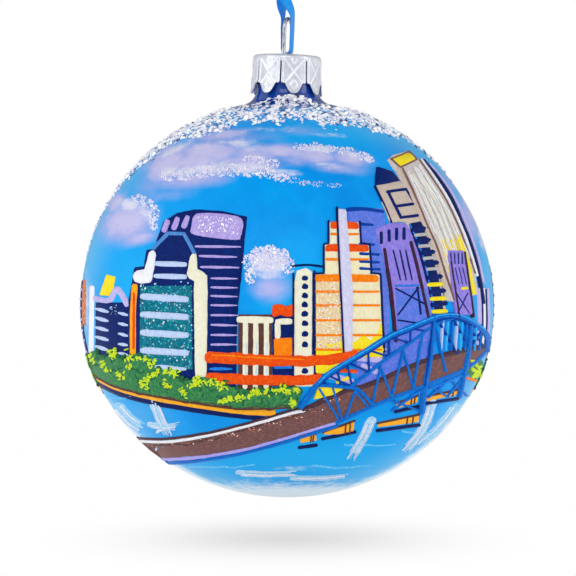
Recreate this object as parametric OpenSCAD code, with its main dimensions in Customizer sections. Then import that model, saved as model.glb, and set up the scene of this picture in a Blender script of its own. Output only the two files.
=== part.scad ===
// Hand-painted blown-glass ball ornament with a crown cap, a wire hanger and a satin ribbon loop.
// The origin is the point where a hook bears inside the top of the ribbon loop; +Z is up and -Y is the front.

/* [Ball] */
// Radius of the ball at its equator
ball_r = 50; // [40:0.5:60]
// Height of the lower half, a little flattened
lower_h = 46.3; // [36:0.1:60]
// Thickness of the blown glass
glass_t = 0.8; // [0.6:0.1:1.2]
// Outside radius of the neck
neck_r = 7.4; // [7:0.1:7.6]
// Radius of the fillet between the neck and the ball
neck_fillet = 4; // [3:0.5:5]

/* [Cap] */
// Height from the ball's centre to the top of the cap
cap_top = 60.7; // [60:0.1:62]
// Height of the cap from its top to the tips of its tabs
cap_h = 9.5; // [8.5:0.1:9.5]
// Outside radius of the cap at its top edge
cap_top_r = 8.25; // [8.2:0.05:8.6]
// Outside radius of the cap at the tips of its tabs
cap_tip_r = 8.8; // [8.7:0.05:9.2]
// Thickness of the stamped sheet
sheet_t = 0.3; // [0.2:0.05:0.35]
// Number of tabs
tabs = 8; // [6:1:10]
// Lean of the cap and its wire to the right, in degrees
cap_lean = 2; // [0:0.5:2.5]

/* [Hanger wire] */
// Radius of the wire
wire_r = 0.5; // [0.4:0.05:0.55]
// Distance from the middle of the eye to each leg
eye_r = 2.5; // [2.3:0.1:3]
// Height of the eye above the cap
eye_h = 9.5; // [9:0.1:11]
// Turn of the eye about the vertical axis, in degrees from the X axis
eye_turn = 68; // [60:1:75]

/* [Ribbon] */
// Width of the satin ribbon
ribbon_w = 3; // [2:0.5:3]
// Thickness of the ribbon
ribbon_t = 0.3; // [0.2:0.05:0.4]
// Distance from the hook point down to the cap
drop = 60; // [56:1:66]

/* [Paint] */
// Thickness of each raised coat of paint
coat_t = 0.25; // [0.15:0.05:0.3]
// Thickness of the coat of glitter
glitter_t = 0.6; // [0.4:0.1:0.8]

/* [Hidden] */

ball_z = -drop - cap_top;
rim_z = cap_top - 0.9;
hole_clearance = 0.25;
coat_gap = 0.05;
step = 3;

fillet_x = neck_r + neck_fillet;
fillet_z = sqrt(pow(ball_r + neck_fillet, 2) - pow(fillet_x, 2));
shoulder = atan2(fillet_z, fillet_x);

// Points of the ball's outline grown by g, from angle a to angle b above the equator
function ball_arc(g, a, b, n) = [
    for (i = [0:n])
        let (t = a + (b - a) * i / n, h = t < 0 ? lower_h : ball_r)
        [(ball_r + g) * cos(t), (h + g) * sin(t)]
];
// Points of the neck fillet grown by g, for the share s0 to s1 of its turn
function fillet_arc(g, s0, s1, n) = [
    for (i = [0:n])
        let (s = s0 + (s1 - s0) * i / n, t = 180 + shoulder * (1 - s))
        [fillet_x + (neck_fillet - g) * cos(t), fillet_z + (neck_fillet - g) * sin(t)]
];
function reversed(p) = [for (i = [len(p) - 1:-1:0]) p[i]];
function arc_steps(a, b) = ceil(abs(b - a) / step);

module on_ball() translate([0, 0, ball_z]) children();

module glass_profile() {
    outer = concat(ball_arc(0, -90, shoulder, arc_steps(-90, shoulder)), fillet_arc(0, 0.1, 1, 9));
    inner = concat(
        ball_arc(-glass_t, -90, shoulder, arc_steps(-90, shoulder)), fillet_arc(-glass_t, 0.1, 1, 9)
    );
    lip = glass_t / 2;
    polygon(concat(outer, [[neck_r, rim_z - lip], [neck_r - glass_t, rim_z - lip]], reversed(inner)));
    translate([neck_r - lip, rim_z - lip]) circle(r = lip, $fn = 24);
}

module glass_ball() {
    color([0.10, 0.55, 0.88]) on_ball() rotate_extrude($fn = 96) glass_profile();
}

// A skin that follows the ball from angle a to angle b, between the heights low and high above the glass
module skin(low, high, a, b) {
    n = arc_steps(a, b);
    rotate_extrude($fn = 96) polygon(concat(ball_arc(low, a, b, n), reversed(ball_arc(high, a, b, n))));
}

module glitter_collar() {
    low = coat_gap;
    high = coat_gap + glitter_t;
    color([0.86, 0.88, 0.90]) on_ball() rotate_extrude($fn = 96) polygon(concat(
        ball_arc(low, 60, shoulder, 6), fillet_arc(low, 0.1, 0.4, 3),
        reversed(fillet_arc(high, 0.1, 0.4, 3)), reversed(ball_arc(high, 60, shoulder, 6))
    ));
}

// The first, second and third coats of paint lie one over the other
function coat_low(k) = coat_gap + k * (coat_t + coat_gap);
module coat(k, a, b) {
    on_ball() intersection() {
        skin(coat_low(k), coat_low(k) + coat_t, a, b);
        union() children();
    }
}

// A shape drawn in X and Z and cut straight into the ball from the side at longitude lon
module painted_from(lon) {
    rotate([0, 0, lon]) rotate([90, 0, 0]) linear_extrude(ball_r + 5) children();
}

// Longitude, and half width, foot height and top height in millimetres from the ball's centre
blocks = [
    [-78, 3, -14, 3], [-62, 6, -16, 3], [-40, 8, -20, 12], [-22, 6, -20, 22], [-8, 4, -19, -4],
    [4, 2.2, -19, 8], [18, 7, -16, 7], [29, 4, -12, 22], [57, 3.5, -6, 11], [76, 4, -12, 5],
    [100, 8, -16, 10], [122, 7, -16, 20], [144, 8, -16, 6], [166, 6, -16, 16], [-166, 8, -16, 8],
    [-144, 6, -16, 22], [-122, 8, -16, 12], [-100, 7, -16, 6]
];
// Longitude, then the outline in X and Z
crowned = [
    [-40, [[-8, 11.9], [-5, 18], [5, 18], [8, 11.9]]],
    [18, [[-5, 6.9], [-5, 14], [-3, 14], [-3, 19], [-1, 24], [1, 24], [3, 19], [3, 14], [5, 14], [5, 6.9]]],
    [43, [[-6, -8], [-6, 30], [-1, 33], [5, 29], [7, -6]]],
    [58, [[-9, 0], [-10, 36], [-2, 36], [7, 20], [6, 0]]]
];

module skyline_relief() {
    color([0.10, 0.22, 0.50]) coat(0, -30, 54) {
        for (b = blocks)
            painted_from(b[0]) polygon([[-b[1], b[2]], [b[1], b[2]], [b[1], b[3]], [-b[1], b[3]]]);
        for (c = crowned) painted_from(c[0]) polygon(c[1]);
    }
}

// Longitude, height and radius of each puff of a cloud
puffs = [
    [-52, 30, 4], [-46, 33, 4.5], [-38, 35, 5], [-30, 36, 5], [-22, 36, 4.5], [-15, 34, 4],
    [8, 35, 3], [14, 36, 3.5], [21, 36, 3.5], [28, 34, 3], [-66, 20, 4.5], [-60, 22, 5], [-57, 17, 4],
    [-7, 11, 3.5], [-3, 9, 4], [-8, 5, 3.5], [110, 32, 4], [118, 34, 5], [126, 32, 4], [172, 30, 4],
    [180, 32, 5], [-172, 30, 4], [-112, 28, 4], [-120, 30, 5]
];

module cloud_relief() {
    color([0.80, 0.78, 0.93]) coat(0, 0, 57) difference() {
        union() for (p = puffs) painted_from(p[0]) translate([0, p[1]]) circle(r = p[2], $fn = 12);
        for (b = blocks) painted_from(b[0]) translate([-b[1] - 0.4, b[2]])
            square([2 * b[1] + 0.8, b[3] - b[2] + 0.4]);
        for (c = crowned) painted_from(c[0]) polygon([for (q = c[1]) q * 1.06]);
    }
}

bank_foot = -24;
bank_head = -15;

module riverbank_relief() {
    color([0.20, 0.50, 0.30]) coat(1, -36, -12) rotate_extrude($fn = 96)
        translate([20, bank_foot]) square([ball_r, bank_head - bank_foot]);
}

// A band of width w along the line of points p
function turned(d) = [-d[1], d[0]] / norm(d);
function side_point(p, i, w) = p[i] + w / 2 * turned(p[min(i + 1, len(p) - 1)] - p[max(i - 1, 0)]);
function band(p, w) = concat(
    [for (i = [0:len(p) - 1]) side_point(p, i, w)], [for (i = [len(p) - 1:-1:0]) side_point(p, i, -w)]
);

deck = [[-30, -36], [-20, -35], [-8, -31.5], [6, -26.5], [20, -21], [32, -16], [45, -12]];
arch = [[5, -26], [9, -19], [16, -14], [23, -9.5], [31, -6], [38, -4], [43, -5], [46, -8]];
hangers = [[16, -14], [23, -9.5], [31, -6], [38, -4]];

module bridge_relief() {
    color([0.05, 0.35, 0.75]) coat(2, -57, 3) {
        painted_from(0) {
            polygon(band(deck, 5));
            polygon(band(arch, 1.6));
        }
        painted_from(0) for (h = hangers)
            polygon(band([h, [h[0] + 1, -25 + (h[0] - 10) * 0.42]], 1));
    }
}

// The cap and its wire lean together about the middle of the neck's rim
module leaning() {
    translate([0, 0, ball_z + rim_z]) rotate([0, cap_lean, 0]) translate([0, 0, -ball_z - rim_z])
        translate([0, 0, ball_z + cap_top]) children();
}

edge_r = 0.8;
slit_top = -1.5;
valley_z = -7.1;
valley_w = 2.7;
slit_w = 0.35;
tip_w = 6.8;
tab_turn = 35;

// A quarter turn of radius r about the rounded edge's centre, from the top round to the skirt
function edge_arc(r) = [
    for (t = [90:-15:0]) [cap_top_r - edge_r + r * cos(t), -edge_r + r * sin(t)]
];

module cap_profile() {
    polygon(concat(
        [[0, 0]], edge_arc(edge_r), [[cap_tip_r, -cap_h], [cap_tip_r - sheet_t, -cap_h]],
        reversed(edge_arc(edge_r - sheet_t)), [[0, -sheet_t]]
    ));
}

// The gap between two tabs: a slit that opens into a wide notch below
module tab_gap() {
    rotate([90, 0, 0]) linear_extrude(cap_tip_r + 2) polygon([
        [-slit_w / 2, slit_top], [slit_w / 2, slit_top], [slit_w / 2, valley_z], [valley_w / 2, valley_z],
        [tip_w / 2, -cap_h - 0.3], [-tip_w / 2, -cap_h - 0.3], [-valley_w / 2, valley_z], [-slit_w / 2, valley_z]
    ]);
}

module cap() {
    color([0.86, 0.88, 0.92]) leaning() difference() {
        rotate_extrude($fn = 96) cap_profile();
        for (i = [0:tabs - 1]) rotate([0, 0, tab_turn + i * 360 / tabs]) tab_gap();
        rotate([0, 0, eye_turn]) for (s = [-1, 1]) translate([s * eye_r, 0, -1])
            cylinder(r = wire_r + hole_clearance, h = 2, $fn = 32);
    }
}

leg_straight = 5.5;
leg_bend = 6;
leg_splay = 8;
leg_length = 18;

module wire_bend(r, angle) rotate([90, 0, 0]) rotate_extrude(angle = angle, $fn = 64)
    translate([r, 0]) circle(r = wire_r, $fn = 24);

// One leg: straight through the cap, then bent outwards to grip the inside of the neck
module leg(top_z) {
    translate([eye_r, 0, -leg_straight]) cylinder(r = wire_r, h = leg_straight + top_z, $fn = 24);
    translate([eye_r + leg_bend, 0, -leg_straight]) {
        rotate([0, 180, 0]) wire_bend(leg_bend, leg_splay);
        rotate([0, -leg_splay, 0]) translate([-leg_bend, 0, -leg_length])
            cylinder(r = wire_r, h = leg_length, $fn = 24);
    }
}

module hanger_wire() {
    arc_z = eye_h - wire_r - eye_r;
    color([0.70, 0.72, 0.75]) leaning() rotate([0, 0, eye_turn]) {
        translate([0, 0, arc_z]) wire_bend(eye_r, 180);
        leg(arc_z);
        rotate([0, 0, 180]) leg(arc_z);
    }
}

// Heights above the cap at which the ribbon twists and bends, half the gap left there, and the loop's top
fold_cut = 20;
twist_gap = 0.15;
top_cut = 37;
swing_gap = 0.6;
loop_top = 60.8;

// The ribbon's route. Each row holds the height above the cap, the X of the loop's middle, half the distance
// between the two strands, and the turn of the ribbon's width about the vertical axis in degrees.
fold_r = 1.1;
fold_z = 1.7;
route = [
    [fold_z, 0, fold_r, 68], [4, 0.05, 1.15, 68], [6.5, 0.1, 1.2, 68], [9.7, 0.1, 1.25, 66],
    [11.5, -0.3, 1.35, 45], [13.5, -0.8, 1.2, 20], [15.5, -1.1, 0.9, 5], [18, -1.2, 0.75, 0],
    [20, -1.2, 0.7, 0], [25, -1.1, 0.7, 0], [30, -1, 0.7, 0], [35, -0.8, 0.7, 0], [40, -0.6, 0.8, 0],
    [44, -0.4, 1.2, 0], [48, -0.2, 2.1, 0], [52, -0.1, 3.1, 0], [55, 0, 3.5, 0], [57.5, 0, 3.1, 0],
    [59.5, 0, 2, 0], [loop_top, 0, 0.9, 0]
];

// A place on a strand: its centre, then the direction of the ribbon's width
function strand_place(r, side) = [
    [r[1] + side * r[2] * sin(r[3]), -side * r[2] * cos(r[3]), r[0] - drop], [cos(r[3]), sin(r[3]), 0]
];
function blend_rows(a, b, z) = a + (b - a) * (z - a[0]) / (b[0] - a[0]);
function row_at(z) = [for (i = [0:len(route) - 2])
    if (z >= route[i][0] && z <= route[i + 1][0]) blend_rows(route[i], route[i + 1], z)][0];
function rows_between(z0, z1) = concat(
    [row_at(z0)], [for (r = route) if (r[0] > z0 + 0.01 && r[0] < z1 - 0.01) r], [row_at(z1)]
);
function strand(z0, z1, side) = [for (r = rows_between(z0, z1)) strand_place(r, side)];
function fold_places() = [for (t = [30:30:150]) let (s = -fold_r * cos(t)) [
    [s * sin(eye_turn), -s * cos(eye_turn), fold_z - drop - fold_r * sin(t)],
    [cos(eye_turn), sin(eye_turn), 0]
]];

// The eight corners of the ribbon's section at one place on its route
function direction_at(p, i) = let (d = p[min(i + 1, len(p) - 1)][0] - p[max(i - 1, 0)][0]) d / norm(d);
function ring(p, i) = let (
    c = p[i][0], w = p[i][1], t = cross(direction_at(p, i), w), a = ribbon_w / 2, b = ribbon_t / 2
) [for (k = [[1, 0.5], [0.8, 1], [-0.8, 1], [-1, 0.5], [-1, -0.5], [-0.8, -1], [0.8, -1], [1, -0.5]])
    c + k[0] * a * w + k[1] * b * t];

module ribbon_tube(p) {
    n = len(p);
    polyhedron(
        points = [for (i = [0:n - 1]) each ring(p, i)],
        faces = concat(
            [[for (k = [0:7]) k], [for (k = [7:-1:0]) (n - 1) * 8 + k]],
            [for (i = [0:n - 2], k = [0:7]) let (a = i * 8 + k, b = i * 8 + (k + 1) % 8)
                each [[a, a + 8, b + 8], [a, b + 8, b]]]
        )
    );
}

module ribbon_fold() {
    color([0.0, 0.52, 0.90]) ribbon_tube(concat(
        reversed(strand(fold_z, fold_cut - twist_gap, -1)), fold_places(),
        strand(fold_z, fold_cut - twist_gap, 1)
    ));
}

module ribbon_strands() {
    color([0.0, 0.56, 0.93]) for (side = [-1, 1])
        ribbon_tube(strand(fold_cut + twist_gap, top_cut - swing_gap, side));
}

module ribbon_top() {
    color([0.0, 0.56, 0.93]) for (side = [-1, 1])
        ribbon_tube(strand(top_cut + swing_gap, loop_top, side));
}

knot_r = 2.2;
knot_z = 2.9;
tail = [[1.2, 0, 4.6], [3, -0.3, 7], [5, -0.6, 9.5], [6.6, -0.8, 12.5], [7.4, -0.8, 16]];

module ribbon_knot() {
    color([0.0, 0.50, 0.88]) {
        translate([0, 0, knot_z]) sphere(r = knot_r, $fn = 32);
        for (s = [0, 1]) mirror([s, 0, 0]) ribbon_tube([for (q = tail) [q, [0.94, 0, -0.34]]]);
    }
}

glass_ball();
glitter_collar();
cloud_relief();
skyline_relief();
riverbank_relief();
bridge_relief();
cap();
hanger_wire();
ribbon_fold();
ribbon_strands();
ribbon_top();
ribbon_knot();
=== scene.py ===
"""Looks of a hand-painted glass ball ornament: the ball, its raised picture, glitter, cap, wire and ribbon.

Lengths are in millimetres from the ball's centre until a mesh is made, and in metres in the row frame
after that.
The picture is laid out as the front view shows it: across is X and up is Z, both from the ball's centre.
"""

import math

import bmesh
import bpy
import numpy as np
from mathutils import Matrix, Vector, geometry, noise


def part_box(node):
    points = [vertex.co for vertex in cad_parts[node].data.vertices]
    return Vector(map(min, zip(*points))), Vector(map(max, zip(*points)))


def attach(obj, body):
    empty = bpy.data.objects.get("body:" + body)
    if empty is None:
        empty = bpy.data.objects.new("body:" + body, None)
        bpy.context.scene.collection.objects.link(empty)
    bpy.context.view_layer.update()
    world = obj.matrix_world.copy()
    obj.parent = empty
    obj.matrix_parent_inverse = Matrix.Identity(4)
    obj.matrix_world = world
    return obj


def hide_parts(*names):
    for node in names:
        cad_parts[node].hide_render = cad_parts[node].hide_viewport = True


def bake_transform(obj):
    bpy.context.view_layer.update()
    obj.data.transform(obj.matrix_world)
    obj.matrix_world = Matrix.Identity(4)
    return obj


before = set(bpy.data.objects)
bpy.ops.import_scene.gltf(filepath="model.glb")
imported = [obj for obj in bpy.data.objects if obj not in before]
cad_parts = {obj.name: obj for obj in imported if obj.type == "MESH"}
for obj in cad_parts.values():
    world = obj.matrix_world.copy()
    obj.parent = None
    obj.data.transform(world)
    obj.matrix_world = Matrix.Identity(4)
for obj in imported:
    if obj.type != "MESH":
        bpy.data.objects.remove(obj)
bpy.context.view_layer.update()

MM = 0.001
SEED = 7
rng = np.random.default_rng(SEED)

# ---------------------------------------------------------------- places from the frame
ball_low, ball_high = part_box("glass_ball")
BALL_R = (ball_high.x - ball_low.x) / 2 / MM
UPPER_H = BALL_R
LOWER_H = 0.926 * BALL_R  # the ball is a little flatter below its middle
CENTRE = np.array([0.0, 0.0, ball_low.z + LOWER_H * MM])
RIM_Z = (ball_high.z - CENTRE[2]) / MM
DROP = 60.0  # from the row frame's zero down to the cap's top
CAP_TOP = (-DROP * MM - CENTRE[2]) / MM

GLASS_T = 0.8
NECK_R = 7.4
NECK_FILLET = 4.0
FILLET_X = NECK_R + NECK_FILLET
FILLET_Z = math.sqrt((BALL_R + NECK_FILLET) ** 2 - FILLET_X ** 2)
SHOULDER = math.degrees(math.atan2(FILLET_Z, FILLET_X))

# ---------------------------------------------------------------- camera, light and floor
VIEW_WIDTH = 139.8
VIEW_DISTANCE = 800.0
VIEW_X = 0.2
VIEW_UP = 4.4
FLOOR_GAP = 10.0
FLOOR_SIZE = 6.0
SHADOW_X, SHADOW_Y = 0.062, 0.10


def make_camera():
    data = bpy.data.cameras.new("camera")
    data.sensor_width = 36
    data.lens = data.sensor_width * VIEW_DISTANCE / VIEW_WIDTH
    data.clip_start, data.clip_end = 0.01, 50
    camera = bpy.data.objects.new("camera", data)
    camera.location = (VIEW_X * MM, -VIEW_DISTANCE * MM, CENTRE[2] + VIEW_UP * MM)
    camera.rotation_euler = (math.pi / 2, 0, 0)
    bpy.context.scene.collection.objects.link(camera)
    bpy.context.scene.camera = camera


def area_light(name, place, target, size, power, colour=(1, 1, 1)):
    data = bpy.data.lights.new(name, "AREA")
    data.shape = "RECTANGLE"
    data.size, data.size_y = size
    data.energy = power
    data.color = colour
    light = bpy.data.objects.new(name, data)
    light.location = place
    light.rotation_euler = (Vector(target) - Vector(place)).to_track_quat("-Z", "Y").to_euler()
    bpy.context.scene.collection.objects.link(light)


def make_studio():
    scene = bpy.context.scene
    scene.view_settings.view_transform = "Standard"
    world = bpy.data.worlds.new("studio")
    scene.world = world
    world.use_nodes = True
    nodes, links = world.node_tree.nodes, world.node_tree.links
    nodes.clear()
    out = nodes.new("ShaderNodeOutputWorld")
    seen, lit = nodes.new("ShaderNodeBackground"), nodes.new("ShaderNodeBackground")
    seen.inputs["Color"].default_value = (1, 1, 1, 1)
    mix, path = nodes.new("ShaderNodeMixShader"), nodes.new("ShaderNodeLightPath")
    coords, split = nodes.new("ShaderNodeTexCoord"), nodes.new("ShaderNodeSeparateXYZ")
    side, ramp = nodes.new("ShaderNodeMath"), nodes.new("ShaderNodeValToRGB")
    side.operation = "ABSOLUTE"
    for out_socket, in_socket in (
        (coords.outputs["Generated"], split.inputs[0]), (split.outputs["X"], side.inputs[0]),
        (side.outputs[0], ramp.inputs["Fac"]), (ramp.outputs["Color"], lit.inputs["Color"]),
        (path.outputs["Is Camera Ray"], mix.inputs["Fac"]), (lit.outputs[0], mix.inputs[1]),
        (seen.outputs[0], mix.inputs[2]), (mix.outputs[0], out.inputs["Surface"]),
    ):
        links.new(out_socket, in_socket)
    stops = ramp.color_ramp.elements
    stops[0].position, stops[0].color = 0.30, (0.42, 0.43, 0.46, 1)
    stops[1].position, stops[1].color = 0.62, (1.25, 1.25, 1.25, 1)
    lit.inputs["Strength"].default_value = 0.6
    middle = tuple(CENTRE)
    area_light("box_left", (-0.55, -0.35, CENTRE[2] + 0.2), middle, (0.25, 0.7), 1.1)
    area_light("box_right", (0.6, -0.25, CENTRE[2] + 0.15), middle, (0.2, 0.7), 1.0)
    area_light("box_front", (-0.1, -0.9, CENTRE[2] + 0.6), middle, (0.8, 0.5), 2.8)


def make_floor():
    z = CENTRE[2] - (LOWER_H + FLOOR_GAP) * MM
    near, far = -FLOOR_SIZE, FLOOR_SIZE * 5
    corners = [(near, near, z), (-near, near, z), (-near, far, z), (near, far, z)]
    mesh = bpy.data.meshes.new("floor")
    mesh.from_pydata(corners, [], [(0, 1, 2, 3)])
    floor = bpy.data.objects.new("floor", mesh)
    bpy.context.scene.collection.objects.link(floor)
    material = bpy.data.materials.new("floor_white_painted_shadow")
    material.use_nodes = True
    nodes, links = material.node_tree.nodes, material.node_tree.links
    nodes.clear()
    out = nodes.new("ShaderNodeOutputMaterial")
    glow, coords = nodes.new("ShaderNodeEmission"), nodes.new("ShaderNodeTexCoord")
    place, fade = nodes.new("ShaderNodeMapping"), nodes.new("ShaderNodeVectorMath")
    place.inputs["Scale"].default_value = (1 / SHADOW_X, 1 / SHADOW_Y, 0)
    fade.operation = "LENGTH"
    # A painted shadow: the floor's even glow is darkened in a soft ellipse below the ball, SHADOW_X across
    # and SHADOW_Y front to back.
    ramp = nodes.new("ShaderNodeValToRGB")
    ramp.color_ramp.interpolation = "B_SPLINE"
    stops = ramp.color_ramp.elements
    stops[0].position, stops[0].color = 0.0, (0.70, 0.70, 0.70, 1)
    stops[1].position, stops[1].color = 1.0, (1, 1, 1, 1)
    for at, tone in ((0.25, 0.78), (0.5, 0.91), (0.75, 0.98)):
        stops.new(at).color = (tone, tone, tone, 1)
    links.new(coords.outputs["Object"], place.inputs["Vector"])
    links.new(place.outputs[0], fade.inputs[0])
    links.new(fade.outputs["Value"], ramp.inputs["Fac"])
    links.new(ramp.outputs["Color"], glow.inputs["Color"])
    links.new(glow.outputs[0], out.inputs["Surface"])
    mesh.materials.append(material)


make_camera()
make_studio()
make_floor()


# ---------------------------------------------------------------- mesh and material helpers
def unit(rows, least=0.0):
    """Each row carried to length 1, taking no row as shorter than least."""
    return rows / np.maximum(np.linalg.norm(rows, axis=1)[:, None], least)


def grid_over(low, high, step_x, step_z):
    """Points of a grid from low to high."""
    gx, gz = np.meshgrid(np.arange(low[0], high[0], step_x), np.arange(low[1], high[1], step_z))
    return np.stack([gx.ravel(), gz.ravel()], 1)


def triangles(flat, border):
    """A mesh of flat points, the first border of them its outline: points, faces and origins."""
    points, _, faces, origins = geometry.delaunay_2d_cdt(
        [Vector(p) for p in flat], [], [list(range(border))], 1, 1e-6
    )[:4]
    return np.array([tuple(v) for v in points]), faces, origins


def set_layer(made, name, kind, values):
    """Writes one value per point to the attribute name, which a material reads."""
    layer = made.data.attributes.new(name, kind, "POINT")
    field = "vector" if kind == "FLOAT_VECTOR" else "value"
    layer.data.foreach_set(field, np.asarray(values, np.float32).ravel())


def new_object(name, verts, faces, materials, indices=None, smooth=True):
    """A mesh object from points in metres, with its materials and, if given, each face's material number."""
    mesh = bpy.data.meshes.new(name)
    mesh.from_pydata([tuple(v) for v in verts], [], faces)
    for material in materials:
        mesh.materials.append(material)
    if indices is not None:
        mesh.polygons.foreach_set("material_index", np.array(indices, np.int32))
    mesh.polygons.foreach_set("use_smooth", [smooth] * len(mesh.polygons))
    mesh.update()
    made = bpy.data.objects.new(name, mesh)
    bpy.context.scene.collection.objects.link(made)
    return made


class Nodes:
    """Short calls for building one material's node tree."""

    def __init__(self, name):
        self.material = bpy.data.materials.new(name)
        self.material.use_nodes = True
        self.tree = self.material.node_tree
        self.shader = self.tree.nodes["Principled BSDF"]

    def add(self, kind, inputs=(), **settings):
        node = self.tree.nodes.new(kind)
        for key, value in settings.items():
            setattr(node, key, value)
        for socket, value in dict(inputs).items():
            self.put(node.inputs[socket], value)
        return node

    def put(self, socket, value):
        if isinstance(value, bpy.types.NodeSocket):
            self.tree.links.new(value, socket)
        else:
            socket.default_value = value

    def set(self, **values):
        for key, value in values.items():
            self.put(self.shader.inputs[key.replace("_", " ")], value)

    def place(self, scale=1.0, stretch=(1, 1, 1)):
        """Object coordinates in millimetres, scaled and stretched."""
        coords = self.add("ShaderNodeTexCoord")
        mapping = self.add("ShaderNodeMapping", {
            "Vector": coords.outputs["Object"], "Scale": tuple(s * scale / MM for s in stretch)
        })
        return mapping.outputs[0]

    def noise(self, scale, detail=3.0, rough=0.5, stretch=(1, 1, 1)):
        """Noise whose waves are about 1 / scale millimetres long."""
        return self.add("ShaderNodeTexNoise", {
            "Vector": self.place(scale, stretch), "Scale": 1.0, "Detail": detail, "Roughness": rough
        }).outputs["Fac"]

    def cells(self, scale):
        """The distance to the nearest of scattered points about 1 / scale millimetres apart."""
        return self.add("ShaderNodeTexVoronoi", {
            "Vector": self.place(scale), "Scale": 1.0, "Randomness": 1.0
        }).outputs["Distance"]

    def math(self, operation, a, b=0.0):
        node = self.add("ShaderNodeMath", operation=operation)
        self.put(node.inputs[0], a)
        self.put(node.inputs[1], b)
        return node.outputs[0]

    def times(self, a, b):
        return self.math("MULTIPLY", a, b)

    def plus(self, a, b):
        return self.math("ADD", a, b)

    def span(self, value, low, high, to_low=0.0, to_high=1.0, smooth=True):
        """value carried from low..high to to_low..to_high, and held at the ends."""
        return self.add("ShaderNodeMapRange", {
            "Value": value, "From Min": low, "From Max": high, "To Min": to_low, "To Max": to_high
        }, interpolation_type="SMOOTHSTEP" if smooth else "LINEAR").outputs[0]

    def mix(self, share, a, b):
        node = self.add("ShaderNodeMix", data_type="RGBA")
        self.put(node.inputs[0], share)
        self.put(node.inputs[6], rgba(a))
        self.put(node.inputs[7], rgba(b))
        return node.outputs[2]

    def attribute(self, name, output="Fac"):
        return self.add("ShaderNodeAttribute", attribute_name=name).outputs[output]

    def bump(self, height, distance, strength=1.0):
        return self.add("ShaderNodeBump", {
            "Height": height, "Distance": distance * MM, "Strength": strength
        }).outputs[0]


def rgba(colour):
    return colour if isinstance(colour, bpy.types.NodeSocket) else (*colour[:3], 1.0)


def srgb(r, g, b):
    """A linear colour from sRGB numbers out of 255."""
    return tuple((c / 255 / 12.92) if c <= 10 else ((c / 255 + 0.055) / 1.055) ** 2.4 for c in (r, g, b))


def lighter(colour, share):
    """colour carried that share of the way to white, or to black if share is below 0."""
    end = 1.0 if share > 0 else 0.0
    return tuple(c + (end - c) * abs(share) for c in colour)


# ---------------------------------------------------------------- the ball's surface
EYE = np.array([VIEW_X, -VIEW_DISTANCE, VIEW_UP])


def profile_radius(z):
    """The painted ball's radius at a height from its centre."""
    z = np.asarray(z, float)
    reach = np.where(z >= 0, UPPER_H, LOWER_H)
    return BALL_R * np.sqrt(np.clip(1 - (z / reach) ** 2, 0, 1))


def normals_at(points):
    reach = np.where(points[:, 2] >= 0, UPPER_H, LOWER_H)
    n = points / np.stack([np.full(len(points), BALL_R**2), np.full(len(points), BALL_R**2), reach**2], 1)
    return unit(n)


def front(flat, lift):
    """Points of the front view carried back onto the ball and lifted off it, in millimetres."""
    flat = np.array(flat, float)
    reach = np.where(flat[:, 1] >= 0, UPPER_H, LOWER_H)
    out = np.sqrt((flat[:, 0] / BALL_R) ** 2 + (flat[:, 1] / reach) ** 2)
    flat = flat * np.where(out > 0.9985, 0.9985 / np.maximum(out, 1e-9), 1.0)[:, None]
    ray = np.stack([flat[:, 0], 0 * flat[:, 0], flat[:, 1]], 1) - EYE
    found = np.zeros((len(flat), 3))
    for high in (True, False):
        size = np.array([BALL_R, BALL_R, UPPER_H if high else LOWER_H])
        e, r = EYE / size, ray / size
        a, b, c = (r * r).sum(1), 2 * (e * r).sum(1), (e * e).sum() - 1
        t = (-b - np.sqrt(np.maximum(b * b - 4 * a * c, 0))) / (2 * a)
        hit = EYE + ray * t[:, None]
        use = (hit[:, 2] >= 0) == high
        found[use] = hit[use]
    return found + normals_at(found) * np.asarray(lift)[:, None]


def around(flat, lift):
    """(arc length round the equator from the front in millimetres, height) carried onto the ball."""
    flat = np.array(flat, float)
    turn, r = flat[:, 0] / BALL_R, profile_radius(flat[:, 1])
    found = np.stack([r * np.sin(turn), -r * np.cos(turn), flat[:, 1]], 1)
    return found + normals_at(found) * np.asarray(lift)[:, None]


def in_row(points):
    """Points in millimetres from the ball's centre as metres in the row frame."""
    return np.asarray(points) * MM + CENTRE


def front_view_of(points):
    """Where points on the ball are seen in the front view."""
    ray = points - EYE
    return (EYE + ray * (-EYE[1] / ray[:, 1])[:, None])[:, [0, 2]]


def soft_spot(flat, x, z, rx, rz, turn=0.0):
    """1 in the middle of a soft ellipse, 0 outside it."""
    c, s = math.cos(math.radians(turn)), math.sin(math.radians(turn))
    dx, dz = flat[:, 0] - x, flat[:, 1] - z
    d = ((dx * c + dz * s) / rx) ** 2 + ((-dx * s + dz * c) / rz) ** 2
    return np.exp(-d * 1.2)


# ---------------------------------------------------------------- ball
BALL_STEPS = 320
INSIDE_STEPS = 96
FADE = 24.0  # how far behind its outline the pictured sky fades into the plain one
BACK_CLOUDS = 26


def ball_profile():
    """(radius, height) down the outside from the rim to the bottom, then up the inside."""
    lip = 0.25
    top = [(NECK_R - GLASS_T + lip, RIM_Z), (NECK_R - lip * 0.3, RIM_Z - lip * 0.2), (NECK_R, RIM_Z - lip)]
    neck = [(NECK_R, z) for z in np.arange(RIM_Z - 1, FILLET_Z + 0.2, -0.6)]
    fillet = [
        (FILLET_X - NECK_FILLET * math.cos(a), FILLET_Z - NECK_FILLET * math.sin(a))
        for a in np.radians(np.arange(0, SHOULDER, 6))
    ]

    def arc(degrees, inset):
        return [
            ((BALL_R - inset) * math.cos(a), ((UPPER_H if a > 0 else LOWER_H) - inset) * math.sin(a))
            for a in np.radians(degrees)
        ]

    sphere = arc(np.arange(SHOULDER, -90.01, -1.25), 0)
    inner = arc(np.arange(-90, 79, 6), GLASS_T)
    inner += [(NECK_R - GLASS_T, 50.5), (NECK_R - GLASS_T, RIM_Z - lip)]
    return top + neck + fillet + sphere, inner


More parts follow.
